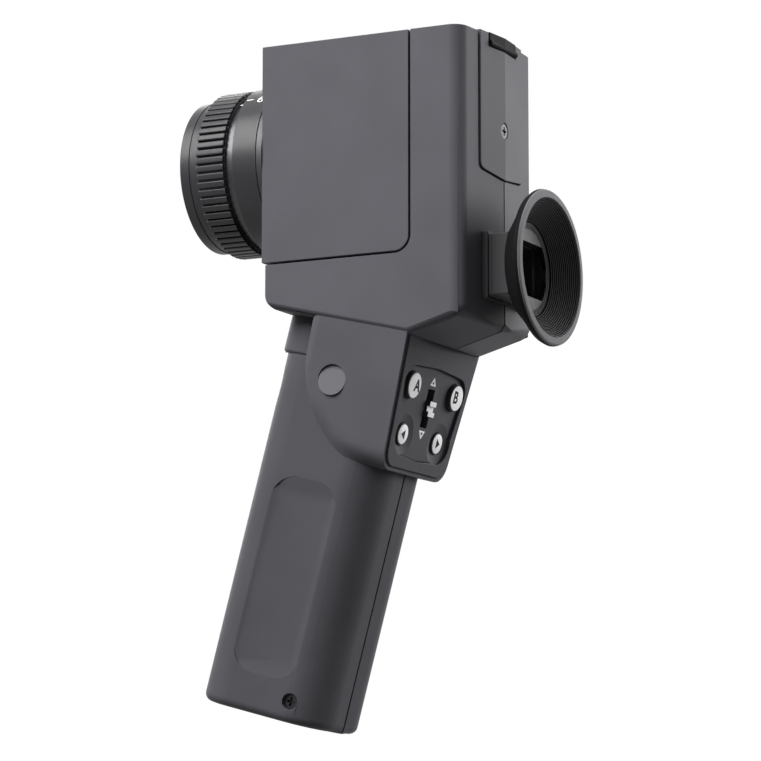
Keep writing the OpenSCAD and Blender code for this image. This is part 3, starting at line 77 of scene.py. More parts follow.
# %% Frames of the head, the grip and the eyepiece
MM = 0.001
joints = {row["name"]: row for row in frame["joints"]}
mounts = {row["name"]: row for row in frame["record"]["mounts"]}
ring_station = -17
eye_drop = 35.9
socket_back = 4.6

head_origin = Vector(joints["focus_turn"]["pos_m"]) - Vector((ring_station * MM, 0, 0))
grip_up = -Vector(mounts["tripod_socket"]["axis"])
rake = math.asin(grip_up.x)
head_frame = Matrix.Translation(head_origin) @ Matrix.Scale(MM, 4)
eye_frame = head_frame @ Matrix.Translation((0, 0, -eye_drop))
grip_frame = Matrix.Rotation(rake, 4, "Y") @ Matrix.Scale(MM, 4) @ Matrix.Translation((-socket_back, 0, 0))
to_head, to_grip = head_frame.inverted(), grip_frame.inverted()
facing_back = Matrix(((0, 0, 1, 0), (1, 0, 0, 0), (0, 1, 0, 0), (0, 0, 0, 1)))
print("head at", [round(v, 4) for v in head_origin], "rake", round(math.degrees(rake), 2))

# %% [markdown]
# The photograph was taken from behind the left side, a little below the object, with a long lens. The camera
# repeats that stand point: a turn about the upright axis, a tilt upwards, and a distance. The three directions
# make the camera's own axes, because a camera looks along its minus Z with its X to the right.

# %% Camera
scene = bpy.context.scene
azimuth, pitch = math.radians(26.814), math.radians(9.07)
stand_off = 1087.041
aim = head_frame @ Vector((25.882, 0, -64.327))
look = Vector((-math.sin(azimuth) * math.cos(pitch), math.cos(azimuth) * math.cos(pitch), math.sin(pitch)))
right = Vector((math.cos(azimuth), math.sin(azimuth), 0))

camera = bpy.data.objects.new("camera", bpy.data.cameras.new("camera"))
scene.collection.objects.link(camera)
camera.matrix_world = Matrix((right, right.cross(look), -look)).transposed().to_4x4()
camera.location = aim - look * stand_off * MM
camera.data.sensor_width = 36
camera.data.lens = 178.84
scene.camera = camera
print("camera at", [round(v, 3) for v in camera.location])

# %% [markdown]
# The studio is a pale floor below the object, a white surround and five large soft lamps. The strongest lights the
# left side from above, and weaker ones stand at the right, at the back, at the far front and overhead. None of them
# faces the rounded corner between the left side and the back, so that corner lies in shade, as on the real one. The
# surround and the floor count as pale only for what the camera, gloss and glass see. For plain shading they are weak,
# so that the lamps model the form and colours come out about as written.

# %% Floor and surround
floor_half, floor_level = 30, -0.4
bm = bmesh.new()
bmesh.ops.create_grid(bm, x_segments=1, y_segments=1, size=floor_half)
bmesh.ops.translate(bm, verts=bm.verts, vec=(0, 0, floor_level))
floor_mesh = bpy.data.meshes.new("floor")
bm.to_mesh(floor_mesh)
bm.free()
floor = bpy.data.objects.new("floor", floor_mesh)
scene.collection.objects.link(floor)


def seen_or_lit(tree, lit, seen):
    """One number for plain shading, another for what the camera, gloss and glass see."""
    rays = tree.nodes.new("ShaderNodeLightPath")
    either = rays.outputs["Is Camera Ray"]
    for name in ("Is Glossy Ray", "Is Transmission Ray"):
        most = tree.nodes.new("ShaderNodeMath")
        most.operation = "MAXIMUM"
        tree.links.new(either, most.inputs[0])
        tree.links.new(rays.outputs[name], most.inputs[1])
        either = most.outputs[0]
    level = tree.nodes.new("ShaderNodeMapRange")
    level.inputs["To Min"].default_value = lit
    level.inputs["To Max"].default_value = seen
    tree.links.new(either, level.inputs["Value"])
    return level.outputs["Result"]


pale = bpy.data.materials.new("pale_floor")
pale.use_nodes = True
tree = pale.node_tree
shader = tree.nodes["Principled BSDF"]
tree.links.new(seen_or_lit(tree, lit=0.12, seen=0.3), shader.inputs["Base Color"])
tree.links.new(seen_or_lit(tree, lit=0.0, seen=0.5), shader.inputs["Emission Strength"])
shader.inputs["Emission Color"].default_value = (1, 1, 1, 1)
shader.inputs["Roughness"].default_value = 0.9
floor_mesh.materials.append(pale)

scene.view_settings.view_transform = "Standard"
scene.world = bpy.data.worlds.new("studio")
scene.world.use_nodes = True
sky = scene.world.node_tree
sky.links.new(seen_or_lit(sky, lit=0.06, seen=1.0), sky.nodes["Background"].inputs["Strength"])
sky.nodes["Background"].inputs["Color"].default_value = (1, 1, 1, 1)
print("floor at", round(floor_mesh.vertices[0].co.z, 3))

# %% Lamps
object_middle = head_frame @ Vector((20, 0, -60))


def soft_lamp(name, direction, power, distance=1.2, size=0.8):
    """An area lamp that faces the middle of the object from that direction."""
    lamp = bpy.data.objects.new(name, bpy.data.lights.new(name, "AREA"))
    lamp.data.size = size
    lamp.data.energy = power
    way = Vector(direction).normalized()
    lamp.location = object_middle + way * distance
    lamp.rotation_euler = way.to_track_quat("Z", "Y").to_euler()
    scene.collection.objects.link(lamp)


soft_lamp("lamp_left", (-0.4, -0.88, 0.85), 24)
soft_lamp("lamp_right", (0.5, 0.85, 0.35), 8)
soft_lamp("lamp_back", (0.85, 0.5, 0.3), 7.5)
soft_lamp("lamp_far", (-0.7, 0.7, 0.5), 5)
soft_lamp("lamp_top", (0.1, 0.25, 1.0), 8, distance=1.3, size=1.2)

# %% [markdown]
# Every finish starts from the same principled shader and reads the piece's own coordinates in metres, so a
# grain keeps its real size. A few helpers add what real surfaces show: a slow drift of colour, a fine grain in
# the bump, and a gloss that isn't the same everywhere. Image textures could do this too, but noise needs no file and
# no unwrapping. Numbers that don't vary sit on the shader itself.

# %% Helpers for the finishes
noise_low, noise_high = 0.3, 0.7


def new_finish(name, metal=0.0, specular=0.5):
    mat = bpy.data.materials.new(name)
    mat.use_nodes = True
    shader = mat.node_tree.nodes["Principled BSDF"]
    shader.inputs["Metallic"].default_value = metal
    shader.inputs["Specular IOR Level"].default_value = specular
    return mat, mat.node_tree, shader


def grain(tree, per_metre, detail=2.0, stretch=(1, 1, 1)):
    """Noise with about that many bumps in a metre, stretched where a tool has drawn it out."""
    place = tree.nodes.new("ShaderNodeTexCoord")
    turn = tree.nodes.new("ShaderNodeMapping")
    turn.inputs["Scale"].default_value = stretch
    noise = tree.nodes.new("ShaderNodeTexNoise")
    noise.inputs["Scale"].default_value = per_metre
    noise.inputs["Detail"].default_value = detail
    tree.links.new(place.outputs["Object"], turn.inputs["Vector"])
    tree.links.new(turn.outputs["Vector"], noise.inputs["Vector"])
    return noise.outputs["Fac"]


def vary_gloss(tree, shader, noise, low, high):
    """Lets the roughness drift from low to high with the noise."""
    node = tree.nodes.new("ShaderNodeMapRange")
    node.inputs["From Min"].default_value = noise_low
    node.inputs["From Max"].default_value = noise_high
    node.inputs["To Min"].default_value = low
    node.inputs["To Max"].default_value = high
    tree.links.new(noise, node.inputs["Value"])
    tree.links.new(node.outputs["Result"], shader.inputs["Roughness"])


def vary_colour(tree, shader, noise, low, high):
    """Lets the colour drift from low to high with the noise."""
    node = tree.nodes.new("ShaderNodeValToRGB")
    for stop, position, colour in zip(node.color_ramp.elements, (noise_low, noise_high), (low, high)):
        stop.position = position
        stop.color = (*colour, 1)
    tree.links.new(noise, node.inputs["Fac"])
    tree.links.new(node.outputs["Color"], shader.inputs["Base Color"])


def rough_up(tree, shader, height, depth_mm, strength):
    """Bumps of that depth where the height is bright."""
    node = tree.nodes.new("ShaderNodeBump")
    node.inputs["Distance"].default_value = depth_mm * MM
    node.inputs["Strength"].default_value = strength
    tree.links.new(height, node.inputs["Height"])
    tree.links.new(node.outputs["Normal"], shader.inputs["Normal"])


def shade(colour, by):
    return tuple(c * by for c in colour)


# %% [markdown]
# The casing is injection-moulded plastic from a spark-eroded mould, which leaves an even, fine, matt grain.
# The grain is about a third of a millimetre wide. A slower noise shifts the colour by a few percent, as handling
# and the mould's flow do, and the same noise makes the gloss a little uneven. Rubber and paint differ only in their
# numbers, so one function makes them all.

# %% Moulded plastics, rubber and paint
cloud_per_metre, cloud_detail = 45, 3
gloss_drift = 0.05


def moulded(name, colour, gloss, grain_mm, depth_mm, specular=0.5, drift=0.07):
    mat, tree, shader = new_finish(name, specular=specular)
    cloud = grain(tree, cloud_per_metre, cloud_detail)
    fine = grain(tree, 1000 / grain_mm)
    vary_colour(tree, shader, cloud, shade(colour, 1 - drift), shade(colour, 1 + drift))
    vary_gloss(tree, shader, cloud, gloss - gloss_drift, gloss + gloss_drift)
    rough_up(tree, shader, fine, depth_mm, 0.5)
    return mat


# Each row: colour, roughness, width and depth of the grain in mm, specular level, drift of the colour.
plastics = {
    "anthracite_plastic": ((0.108, 0.105, 0.118), 0.46, 0.32, 0.03, 0.04),
    "grip_plastic": ((0.085, 0.083, 0.093), 0.46, 0.36, 0.035, 0.04),
    "plug_plastic": ((0.135, 0.132, 0.147), 0.44, 0.32, 0.03, 0.12),
    "black_rubber": ((0.007, 0.007, 0.0075), 0.62, 0.25, 0.02, 0.05),
    # The ridge rubber is lighter than the cup only as a painted highlight on the ridge tops.
    "ridge_highlight_rubber": ((0.035, 0.035, 0.037), 0.55, 0.25, 0.02, 0.2),
    "worn_rubber": ((0.17, 0.17, 0.18), 0.7, 0.22, 0.03, 0.15, 0.12),
    "black_plastic": ((0.04, 0.04, 0.043), 0.42, 0.3, 0.02, 0.15),
    "key_grey": ((0.93, 0.93, 0.94), 0.32, 0.4, 0.008, 0.5, 0.03),
    "display_plastic": ((0.3, 0.34, 0.32), 0.2, 1.2, 0.004),
    "cell_wrap": ((0.05, 0.05, 0.055), 0.25, 2.0, 0.004),
    "white_print": ((0.93, 0.93, 0.93), 0.5, 0.15, 0.01, 0.3, 0.03),
    # Dark print is also used for the painted shade in the gap around the pad.
    "dark_print_and_gap_shade": ((0.006, 0.006, 0.007), 0.5, 0.15, 0.01, 0.1, 0.03),
}
finishes = {name: moulded(name, *values) for name, values in plastics.items()}
print("plastics:", list(plastics))

# %% [markdown]
# The lens is turned aluminium, black anodised. Turning leaves hair-thin rings around the lens axis, so the noise
# is squeezed along X and drawn out around it. Steel and brass are bare metal with the same kind of tool marks.

# %% Metals
ring_stretch = (1, 0.06, 0.06)
stain_per_metre, stain_detail, stain_drift = 60, 3, 0.12
polish_drift = 0.06


def turned(name, colour, gloss, metal, ring_mm, specular=0.5):
    mat, tree, shader = new_finish(name, metal=metal, specular=specular)
    rings = grain(tree, 1000 / ring_mm, stretch=ring_stretch)
    stain = grain(tree, stain_per_metre, stain_detail)
    vary_colour(tree, shader, stain, shade(colour, 1 - stain_drift), shade(colour, 1 + stain_drift))
    vary_gloss(tree, shader, rings, gloss - polish_drift, gloss + polish_drift)
    rough_up(tree, shader, rings, 0.012, 0.35)
    return mat


# Each row: colour, roughness, share of bare metal, width of a turned ring in mm, specular level.
metals = {
    "black_anodised": ((0.03, 0.03, 0.033), 0.34, 0.0, 0.35, 0.25),
    "flange_alloy": ((0.03, 0.03, 0.032), 0.4, 0.3, 0.3),
    "steel": ((0.55, 0.55, 0.56), 0.3, 1.0, 0.25),
    "black_steel": ((0.02, 0.02, 0.022), 0.35, 0.4, 0.25, 0.2),
    "brass": ((0.66, 0.48, 0.22), 0.28, 1.0, 0.25),
    # The skirt's ring is a lighter, more metallic copy of black_anodised: a painted highlight.
    "painted_highlight_ring": ((0.05, 0.05, 0.053), 0.3, 0.8, 0.3),
}
finishes.update({name: turned(name, *values) for name, values in metals.items()})
print("metals:", list(metals))

# %% [markdown]
# Optical glass is clear, with a trace of smear from wiping. The focusing screen is ground glass: its matt face
# scatters the light, so that the picture stands on it. Mirrors are silvered on the front, with a little haze. The
# boards have green lacquer over a net of copper tracks, for which a brick pattern is enough.

# %% Glass, mirror and boards
mat, tree, shader = new_finish("optical_glass")
shader.inputs["Transmission Weight"].default_value = 1.0
shader.inputs["IOR"].default_value = 1.52
smear = grain(tree, 90, 4)
vary_colour(tree, shader, smear, (0.97, 0.985, 0.975), (0.985, 0.99, 1.0))
vary_gloss(tree, shader, smear, 0.0, 0.008)
finishes["optical_glass"] = mat

mat, tree, shader = new_finish("ground_glass", specular=0.2)
shader.inputs["Transmission Weight"].default_value = 0.5
matt = grain(tree, 4000)
# The screen's grey is darker than ground glass is, as painted shade that keeps the view into the lens dark.
vary_colour(tree, shader, matt, (0.3, 0.31, 0.305), (0.36, 0.37, 0.365))
vary_gloss(tree, shader, matt, 0.6, 0.8)
rough_up(tree, shader, matt, 0.01, 0.4)
finishes["ground_glass"] = mat

mat, tree, shader = new_finish("mirror_coat", metal=1.0)
haze = grain(tree, 120, 3)
vary_colour(tree, shader, haze, (0.84, 0.85, 0.87), (0.92, 0.92, 0.93))
vary_gloss(tree, shader, haze, 0.02, 0.06)
finishes["mirror_coat"] = mat

mat, tree, shader = new_finish("circuit_board")
place = tree.nodes.new("ShaderNodeTexCoord")
swap_axes = tree.nodes.new("ShaderNodeMapping")
swap_axes.inputs["Rotation"].default_value = (math.radians(90), 0, math.radians(90))
tracks = tree.nodes.new("ShaderNodeTexBrick")
tracks.inputs["Scale"].default_value = 220
tracks.inputs["Mortar Size"].default_value = 0.03
tracks.inputs["Color1"].default_value = (0.012, 0.075, 0.035, 1)
tracks.inputs["Color2"].default_value = (0.015, 0.09, 0.04, 1)
tracks.inputs["Mortar"].default_value = (0.05, 0.2, 0.09, 1)
tree.links.new(place.outputs["Object"], swap_axes.inputs["Vector"])
tree.links.new(swap_axes.outputs["Vector"], tracks.inputs["Vector"])
tree.links.new(tracks.outputs["Color"], shader.inputs["Base Color"])
vary_gloss(tree, shader, grain(tree, 300), 0.25, 0.4)
rough_up(tree, shader, tracks.outputs["Fac"], 0.03, 0.5)
finishes["circuit_board"] = mat

for name, obj in nodes.items():
    obj.data.materials.clear()
    obj.data.materials.append(finishes[slot_of[name]])
for name in ("grip_screw", "rear_panel_screw", "head_screws", "collar_screw"):
    nodes[name].data.materials[0] = finishes["black_steel"]
nodes["focusing_screen"].data.materials[0] = finishes["ground_glass"]
print("finishes:", len(finishes))

# %% [markdown]
# A moulded edge is never knife-sharp. The shells are copied from the CAD nodes, their triangles are joined
# again into whole faces, and the edges that lie in the open get a narrow round. A Bevel modifier would take every
# sharp edge, so the edges are chosen here instead. An edge counts as open when a ray that leaves it outwards meets
# nothing. Inner edges stay as they are, because nobody sees them, and some have no room for a round. Shading normals
# follow the larger faces, so flat walls look flat up to their rounds.

# %% What stands around each edge
sharp_angle, soft_angle = 20, 26
air_bm = bmesh.new()
for obj in nodes.values():
    air_bm.from_mesh(obj.data)
air = BVHTree.FromBMesh(air_bm)
air_bm.free()


def edge_middle(edge):
    return (edge.verts[0].co + edge.verts[1].co) / 2


def open_edges(bm, sharp=sharp_angle):
    """The outer edges that stand in the open, where two faces meet at more than that angle."""
    lift, reach = 0.02 * MM, 60 * MM
    found = []
    for edge in bm.edges:
        if len(edge.link_faces) != 2 or not edge.is_convex or edge.calc_face_angle(0) < math.radians(sharp):
            continue
        away = (edge.link_faces[0].normal + edge.link_faces[1].normal).normalized()
        if air.ray_cast(edge_middle(edge) + away * lift, away, reach)[0] is None:
            found.append(edge)
    return found


def keep(name, bm, body, finish, stands_for=(), smooth=soft_angle):
    """Makes the bmesh a piece of that name that rides on the body and stands for those CAD nodes."""
    bm.normal_update()
    for face in bm.faces:
        face.smooth = True
    for edge in bm.edges:
        edge.smooth = len(edge.link_faces) == 2 and edge.calc_face_angle(0) < math.radians(smooth)
    mesh = bpy.data.meshes.new(name)
    bm.to_mesh(mesh)
    bm.free()
    for mat in finish if isinstance(finish, list) else [finish]:
        mesh.materials.append(mat)
    piece = bpy.data.objects.new(name, mesh)
    scene.collection.objects.link(piece)
    even = piece.modifiers.new("even_normals", "WEIGHTED_NORMAL")
    even.keep_sharp = True
    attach(piece, body)
    if stands_for:
        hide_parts(*stands_for)


def merged(node):
    """A copy of a CAD node's mesh with its triangles joined into whole faces."""
    bm = bmesh.new()
    bm.from_mesh(nodes[node].data)
    bmesh.ops.remove_doubles(bm, verts=bm.verts, dist=0.002 * MM)
    bmesh.ops.dissolve_limit(bm, angle_limit=math.radians(0.6), verts=bm.verts, edges=bm.edges)
    return bm


def soften(bm, edges, width_mm, steps=2):
    bmesh.ops.bevel(bm, geom=edges, offset=width_mm * MM, offset_type="OFFSET", affect="EDGES", segments=steps,
                    profile=0.5, material=-1, clamp_overlap=False, loop_slide=True)


# %% [markdown]
# A few edges of the casing have a round that is wide enough to see from afar. The foot of the grip is rounded all
# around, so that it stands on a table without a scratch, the brow over the finger ends in a rounded lip, and the
# head's heel rolls up into its back. Each is found by where it is and by the two walls that meet there. The collar
# rolls down to the grip along its sweep, and this roll grows wider towards its lower end. A bevel has one width, so
# the collar's side is cut into small faces first, and these are then sunk by their distance from the sweep.

# %% Wide rounds
grip_half_x, grip_half_y, grip_round = 9, 5.2, 12
brow_low, brow_high, brow_back = 102.3, 104, -9


def walls(edge, turn):
    """The directions of the two faces at an edge in a frame of the object, the lower one first."""
    return sorted([(turn.to_3x3() @ f.normal).normalized() for f in edge.link_faces], key=lambda n: n.z)


def beyond_grip(at):
    """How far a point lies outside the grip's plain section, a rectangle with wide rounds."""
    return Vector((max(abs(at.x) - grip_half_x, 0), max(abs(at.y) - grip_half_y, 0))).length - grip_round


def at_foot(edge):
    at, (low, high) = to_grip @ edge_middle(edge), walls(edge, to_grip)
    return at.z < 0.1 and abs(beyond_grip(at)) < 0.2 and low.z < -0.9 and high.z > -0.3


def at_brow(edge):
    at, (low, high) = to_grip @ edge_middle(edge), walls(edge, to_grip)
    return brow_low < at.z < brow_high and at.x < brow_back and low.z < -0.5 and high.z > -0.3


def at_heel(edge):
    low, high = walls(edge, to_head)
    return low.z < -0.85 and low.x > 0.15 and abs(high.z) < 0.3 and high.x > 0.3


grip_rounds = [(at_foot, 2.4), (at_brow, 0.9)]
head_rounds = [(at_heel, 2.6)]
wide_rounds = {"grip_left": grip_rounds, "grip_right": grip_rounds,
               "head_left": head_rounds, "head_right": head_rounds}
wide_steps = 5
print("wide rounds on:", list(wide_rounds))

# %% Rolled collar
collar_shells = ("head_left", "head_right")
collar_low, collar_half, collar_flare = 76, 19.8, 0.0975
corner_y, corner_z, corner_r = 14.36, 82, 6
side_from = 81.6
front_x, sweep_x, sweep_z, sweep_r = -7.6, 22.4, 104, 30
roll_wide, roll_wider, roll_deep, roll_deeper = 1.5, 3.5, 0.7, 1.8
grow_from, grow_over = 98, 14
fade_end, fade_over = 23.2, 4


def share(value):
    return min(max(value, 0), 1)


def on_collar(face):
    """Whether a face belongs to the collar's outer side or to its rounded lower corner."""
    at = to_grip @ face.calc_center_median()
    out = (to_grip.to_3x3() @ face.normal).normalized().y * math.copysign(1, at.y)
    if not (75.9 < at.z < 115 and -8 < at.x < 23.1 and out > 0.15):
        return False
    if at.z > side_from:
        return abs(abs(at.y) - (collar_half + (at.z - collar_low) * collar_flare)) < 0.15 and out > 0.9
    return abs(math.hypot(abs(at.y) - corner_y, at.z - corner_z) - corner_r) < 0.35


def roll_collar(bm):
    """Cuts the collar's side at every millimetre and sinks it towards its front edge and its sweep."""
    for face in [f for f in bm.faces if on_collar(f)]:
        face.material_index = 1
    cuts = [((1, 0, 0), (x, 0, 0)) for x in range(-7, 24)] + [((0, 0, 1), (0, 0, z)) for z in range(77, 115)]
    for way, at in cuts:
        side = [f for f in bm.faces if f.material_index]
        near = {e for f in side for e in f.edges} | {v for f in side for v in f.verts}
        bmesh.ops.bisect_plane(bm, geom=side + list(near), dist=0.001 * MM, plane_co=grip_frame @ Vector(at),
                               plane_no=grip_frame.to_3x3() @ Vector(way))
    for v in {v for f in bm.faces if f.material_index for v in f.verts}:
        at = to_grip @ v.co
        grown = share((grow_from - at.z) / grow_over)
        width, depth = roll_wide + roll_wider * grown, roll_deep + roll_deeper * grown
        inside = at.x - front_x if at.z > sweep_z else sweep_r - math.hypot(at.x - sweep_x, at.z - sweep_z)
        if inside < width:
            depth = min(depth, 0.8 * max(beyond_grip(at), 0)) * share((fade_end - at.x) / fade_over)
            at.y -= math.copysign(depth * (1 - max(inside, 0) / width) ** 2, at.y)
            v.co = grip_frame @ at
    for face in bm.faces:
        face.material_index = 0
    bmesh.ops.dissolve_degenerate(bm, dist=0.01 * MM, edges=bm.edges)


# %% Shells with soft edges
edge_round = {
    "front_cover": 0.3, "head_left": 0.18, "head_right": 0.18, "rear_panel": 0.25, "port_flap": 0.25,
    "grip_left": 0.2, "grip_right": 0.2, "control_housing": 0.12, "trigger": 0.25, "collar_plugs": 0.06,
    "eyepiece_block": 0.2, "eyecup_frame": 0.2, "battery_cap": 0.25, "lens_flange": 0.15, "lens_cell": 0.2,
    "filter_ring": 0.2, "lens_barrel": 0.2,
}
soft_limit = {"control_housing": 14, "rear_panel": 8, "port_flap": 8, "head_left": 24, "head_right": 24}
sharp_from = {"head_left": 30, "head_right": 30}
own_finish = {"collar_plugs": "plug_plastic"}
for node, width in edge_round.items():
    bm = merged(node)
    for at_place, wide in wide_rounds.get(node, ()):
        chosen = [e for e in open_edges(bm) if at_place(e)]
        print(node, at_place.__name__, len(chosen))
        soften(bm, chosen, wide, wide_steps)
    edges = open_edges(bm, sharp_from.get(node, sharp_angle))
    if node in collar_shells:
        edges = [e for e in edges if not any(on_collar(f) for f in e.link_faces)]
    soften(bm, edges, width)
    if node in collar_shells:
        roll_collar(bm)
    print(node, "edges rounded:", len(edges), "faces:", len(bm.faces))
    finish = finishes[own_finish.get(node, slot_of[node])]
    keep(node + "_shell", bm, body_of[node], finish, [node], soft_limit.get(node, soft_angle))

# %% [markdown]
# Screws, lenses and small turned metal have the right shape in the CAD model already, but its triangles shade like
# facets. A merged copy with smooth faces and sharp rims looks round, so each gets one in place of its node.

# %% Screws, glass and small metal
round_nodes = ("grip_screw", "rear_panel_screw", "head_screws", "flange_screws", "tripod_bush", "retaining_ring",
               "front_element", "rear_element", "filter_glass", "eyepiece_lens", "battery", "photodiode")
for node in round_nodes:
    keep(node + "_smooth", merged(node), body_of[node], nodes[node].data.materials[0], [node])
print("smooth copies:", len(round_nodes))

# %% [markdown]
# Round pieces come off a lathe or out of a round mould, so they are drawn as half a section and turned once around
# their axis. A Screw modifier could do the same, but spin gives faces at once, and these can be painted by where they
# are. A helper rounds the corners of the section first. The eyecup is moulded rubber: a thick cone, a raised band
# behind its rim, a soft rim that handling has turned grey, and a stack of fine ridges inside that break up stray
# light. A flat plate with a window closes its seat.


# %% Helpers for turned pieces
def rounded(corners, steps=3):
    """Points of a section from its corners (x, r, round), with each round drawn as a short arc."""
    points = []
    for i, (x, r, radius) in enumerate(corners):
        here = Vector((x, r))
        back = Vector(corners[i - 1][:2]) - here
        ahead = Vector(corners[(i + 1) % len(corners)][:2]) - here
        if not radius:
            points.append(here)
            continue
        half = back.angle(ahead) / 2
        cut = min(radius / math.tan(half), 0.45 * back.length, 0.45 * ahead.length)
        back.normalize()
        ahead.normalize()
        centre = here + (back + ahead).normalized() * (cut / math.cos(half))
        arm = cut * math.tan(half)
        for k in range(steps + 1):
            way = (here + back * cut - centre).lerp(here + ahead * cut - centre, k / steps)
            points.append(centre + way.normalized() * arm)
    return points


def spun(points, place, steps=96, closed=True, paint=None):
    """A section of (x, r) points turned around the X axis. With closed off, it starts and ends on the axis."""
    bm = bmesh.new()
    line = [bm.verts.new((x, 0, r)) for x, r in points]
    for a, b in zip(line, line[1:] + line[:1] if closed else line[1:]):
        bm.edges.new((a, b))
    bmesh.ops.spin(bm, geom=bm.verts[:] + bm.edges[:], cent=(0, 0, 0), axis=(1, 0, 0), dvec=(0, 0, 0),
                   angle=math.tau, steps=steps, use_merge=True)
    bmesh.ops.remove_doubles(bm, verts=bm.verts, dist=0.0005)
    bmesh.ops.recalc_face_normals(bm, faces=bm.faces)
    if paint:
        for face in bm.faces:
            at = face.calc_center_median()
            face.material_index = paint(at.x, math.hypot(at.y, at.z))
    bmesh.ops.transform(bm, matrix=place, verts=bm.verts)
    return bm


def thicken(bm, height):
    """Makes a flat drawing a solid of that height along Z."""
    top = bmesh.ops.extrude_face_region(bm, geom=bm.faces[:])
    bmesh.ops.translate(bm, verts=[v for v in top["geom"] if isinstance(v, bmesh.types.BMVert)], vec=(0, 0, height))
    bmesh.ops.recalc_face_normals(bm, faces=bm.faces)


def add_to(whole, bm):
    """Moves the faces of one bmesh into another."""
    mesh = bpy.data.meshes.new("joined")
    bm.to_mesh(mesh)
    bm.free()
    whole.from_mesh(mesh)
    bpy.data.meshes.remove(mesh)


# %% Eyecup
cup_x = 72.07
rim_in, cone_in = Vector((79.57, 19.75)), Vector((73.5, 13.5))
seat_out, seat_in = Vector((73.27, 13.3)), Vector((73.27, 11.3))
plate_r, plate_thick = 11.5, 1.1
window_y, window_z, squareness = 11.2, 7.8, 12
cup_finishes = ("black_rubber", "worn_rubber", "ridge_highlight_rubber", "black_plastic")
on_cone, on_rim, on_ridge_highlight, on_plate = range(len(cup_finishes))


def ridged(start, end, count, sunk):
    """Points of a line with that many square grooves, each sunk by that much."""
    return [start.lerp(end, (k + part_way) / count) + Vector(sunk) * deep for k in range(count)
            for part_way, deep in ((0.0, 0), (0.45, 0), (0.5, 1), (0.95, 1))]


def cup_finish(x, r):
    """Grey on the rim, a painted highlight on the tops of the ridges, black elsewhere."""
    if x > 79.42 and r > 19.8:
        return on_rim
    along = (rim_in.x - x) / (rim_in.x - cone_in.x)
    on_line = abs(r - (rim_in.y + (cone_in.y - rim_in.y) * along)) < 0.12
    return on_ridge_highlight if (on_line and r < 19.7) or (x > 73.2 and r < 13.45) else on_cone


outside = rounded([(cup_x, 11.3, 0), (cup_x, 14.6, 0.5), (cup_x + 5.2, 20.95, 0.2), (cup_x + 5.35, 21.6, 0.2),
                   (cup_x + 6.6, 22.4, 0.6), (cup_x + 8.0, 22.1, 0.7), (cup_x + 8.15, 19.9, 0.5),
                   (cup_x + 7.6, 19.85, 0)])
inside = ridged(rim_in, cone_in, 15, (-0.35, 0.35)) + ridged(seat_out, seat_in, 5, (-0.4, 0))
bm = spun(outside + inside, eye_frame, 128, paint=cup_finish)

plate = bmesh.new()
bmesh.ops.create_circle(plate, segments=96, radius=plate_r)
for v in bmesh.ops.create_circle(plate, segments=96, radius=1)["verts"]:
    v.co *= ((abs(v.co.x) / window_y) ** squareness + (abs(v.co.y) / window_z) ** squareness) ** (-1 / squareness)
bmesh.ops.bridge_loops(plate, edges=plate.edges[:])
thicken(plate, plate_thick)
for face in plate.faces:
    face.material_index = on_plate
bmesh.ops.transform(plate, matrix=eye_frame @ Matrix.Translation((cup_x, 0, 0)) @ facing_back, verts=plate.verts)
add_to(bm, plate)
print("eyecup faces:", len(bm.faces))
keep("eyecup_cone", bm, body_of["eyecup"], [finishes[n] for n in cup_finishes], ["eyecup"])

# %% [markdown]
# The focus ring is turned aluminium with milled bars around it for the fingers, and a smooth skirt behind them. The
# bars are copies of one bar with its top edges broken. The skirt gets a lighter, more metallic copy of the anodised
# finish, as a painted highlight.

# %% Focus ring
rib_front, rib_back, skirt_back = -22.0, -12.8, -9.7
bore_r, core_r, skirt_r = 21.15, 23.4, 22.8
# The skirt's faces take the second finish, a painted highlight.
bm = spun(rounded([(rib_front, bore_r, 0.1), (rib_front, core_r, 0.2), (rib_back, core_r, 0.1), (rib_back, skirt_r, 0),
                   (skirt_back, skirt_r, 0.2), (skirt_back, bore_r, 0.1)]), head_frame, 128,
          paint=lambda x, r: 1 if x > rib_back + 0.05 and r > skirt_r - 0.2 else 0)
keep("focus_ring_core", bm, "focus_ring", [finishes["black_anodised"], finishes["painted_highlight_ring"]],
     ["focus_ring"])

bar_count = 64
bar_length, bar_width, bar_height, bar_middle_r = 8.9, 1.82, 1.4, 23.8
bm = bmesh.new()
for k in range(bar_count):
    turn = Matrix.Rotation(math.tau * k / bar_count, 4, "X")
    lift = Matrix.Translation(((rib_front + rib_back) / 2, 0, bar_middle_r))
    bmesh.ops.create_cube(bm, size=1, matrix=turn @ lift @ Matrix.Diagonal((bar_length, bar_width, bar_height, 1)))
tops = [e for e in bm.edges if all(math.hypot(v.co.y, v.co.z) > bar_middle_r + 0.2 for v in e.verts)]
bmesh.ops.bevel(bm, geom=tops, offset=0.4, offset_type="OFFSET", affect="EDGES", segments=3, profile=0.5,
                material=-1, clamp_overlap=True)
bmesh.ops.transform(bm, matrix=head_frame, verts=bm.verts)
print("focus bars:", bar_count, "faces:", len(bm.faces))
keep("focus_ring_bars", bm, "focus_ring", finishes["black_anodised"], smooth=40)

# %% [markdown]
# Marks are printed or engraved and filled with white paint. Each is a thin solid from a text or a plain outline, made
# a mesh first, because only a mesh can be bent. On the lens they are bent around the barrel: across the drawing is
# along the lens axis, up the drawing is around it. The numbers are metres. They stand where the lens equation puts
# them for a 50 mm lens and this ring, which moves it 2.6 mm in 210 degrees.

# %% Helpers for marks
capital_share = 0.7


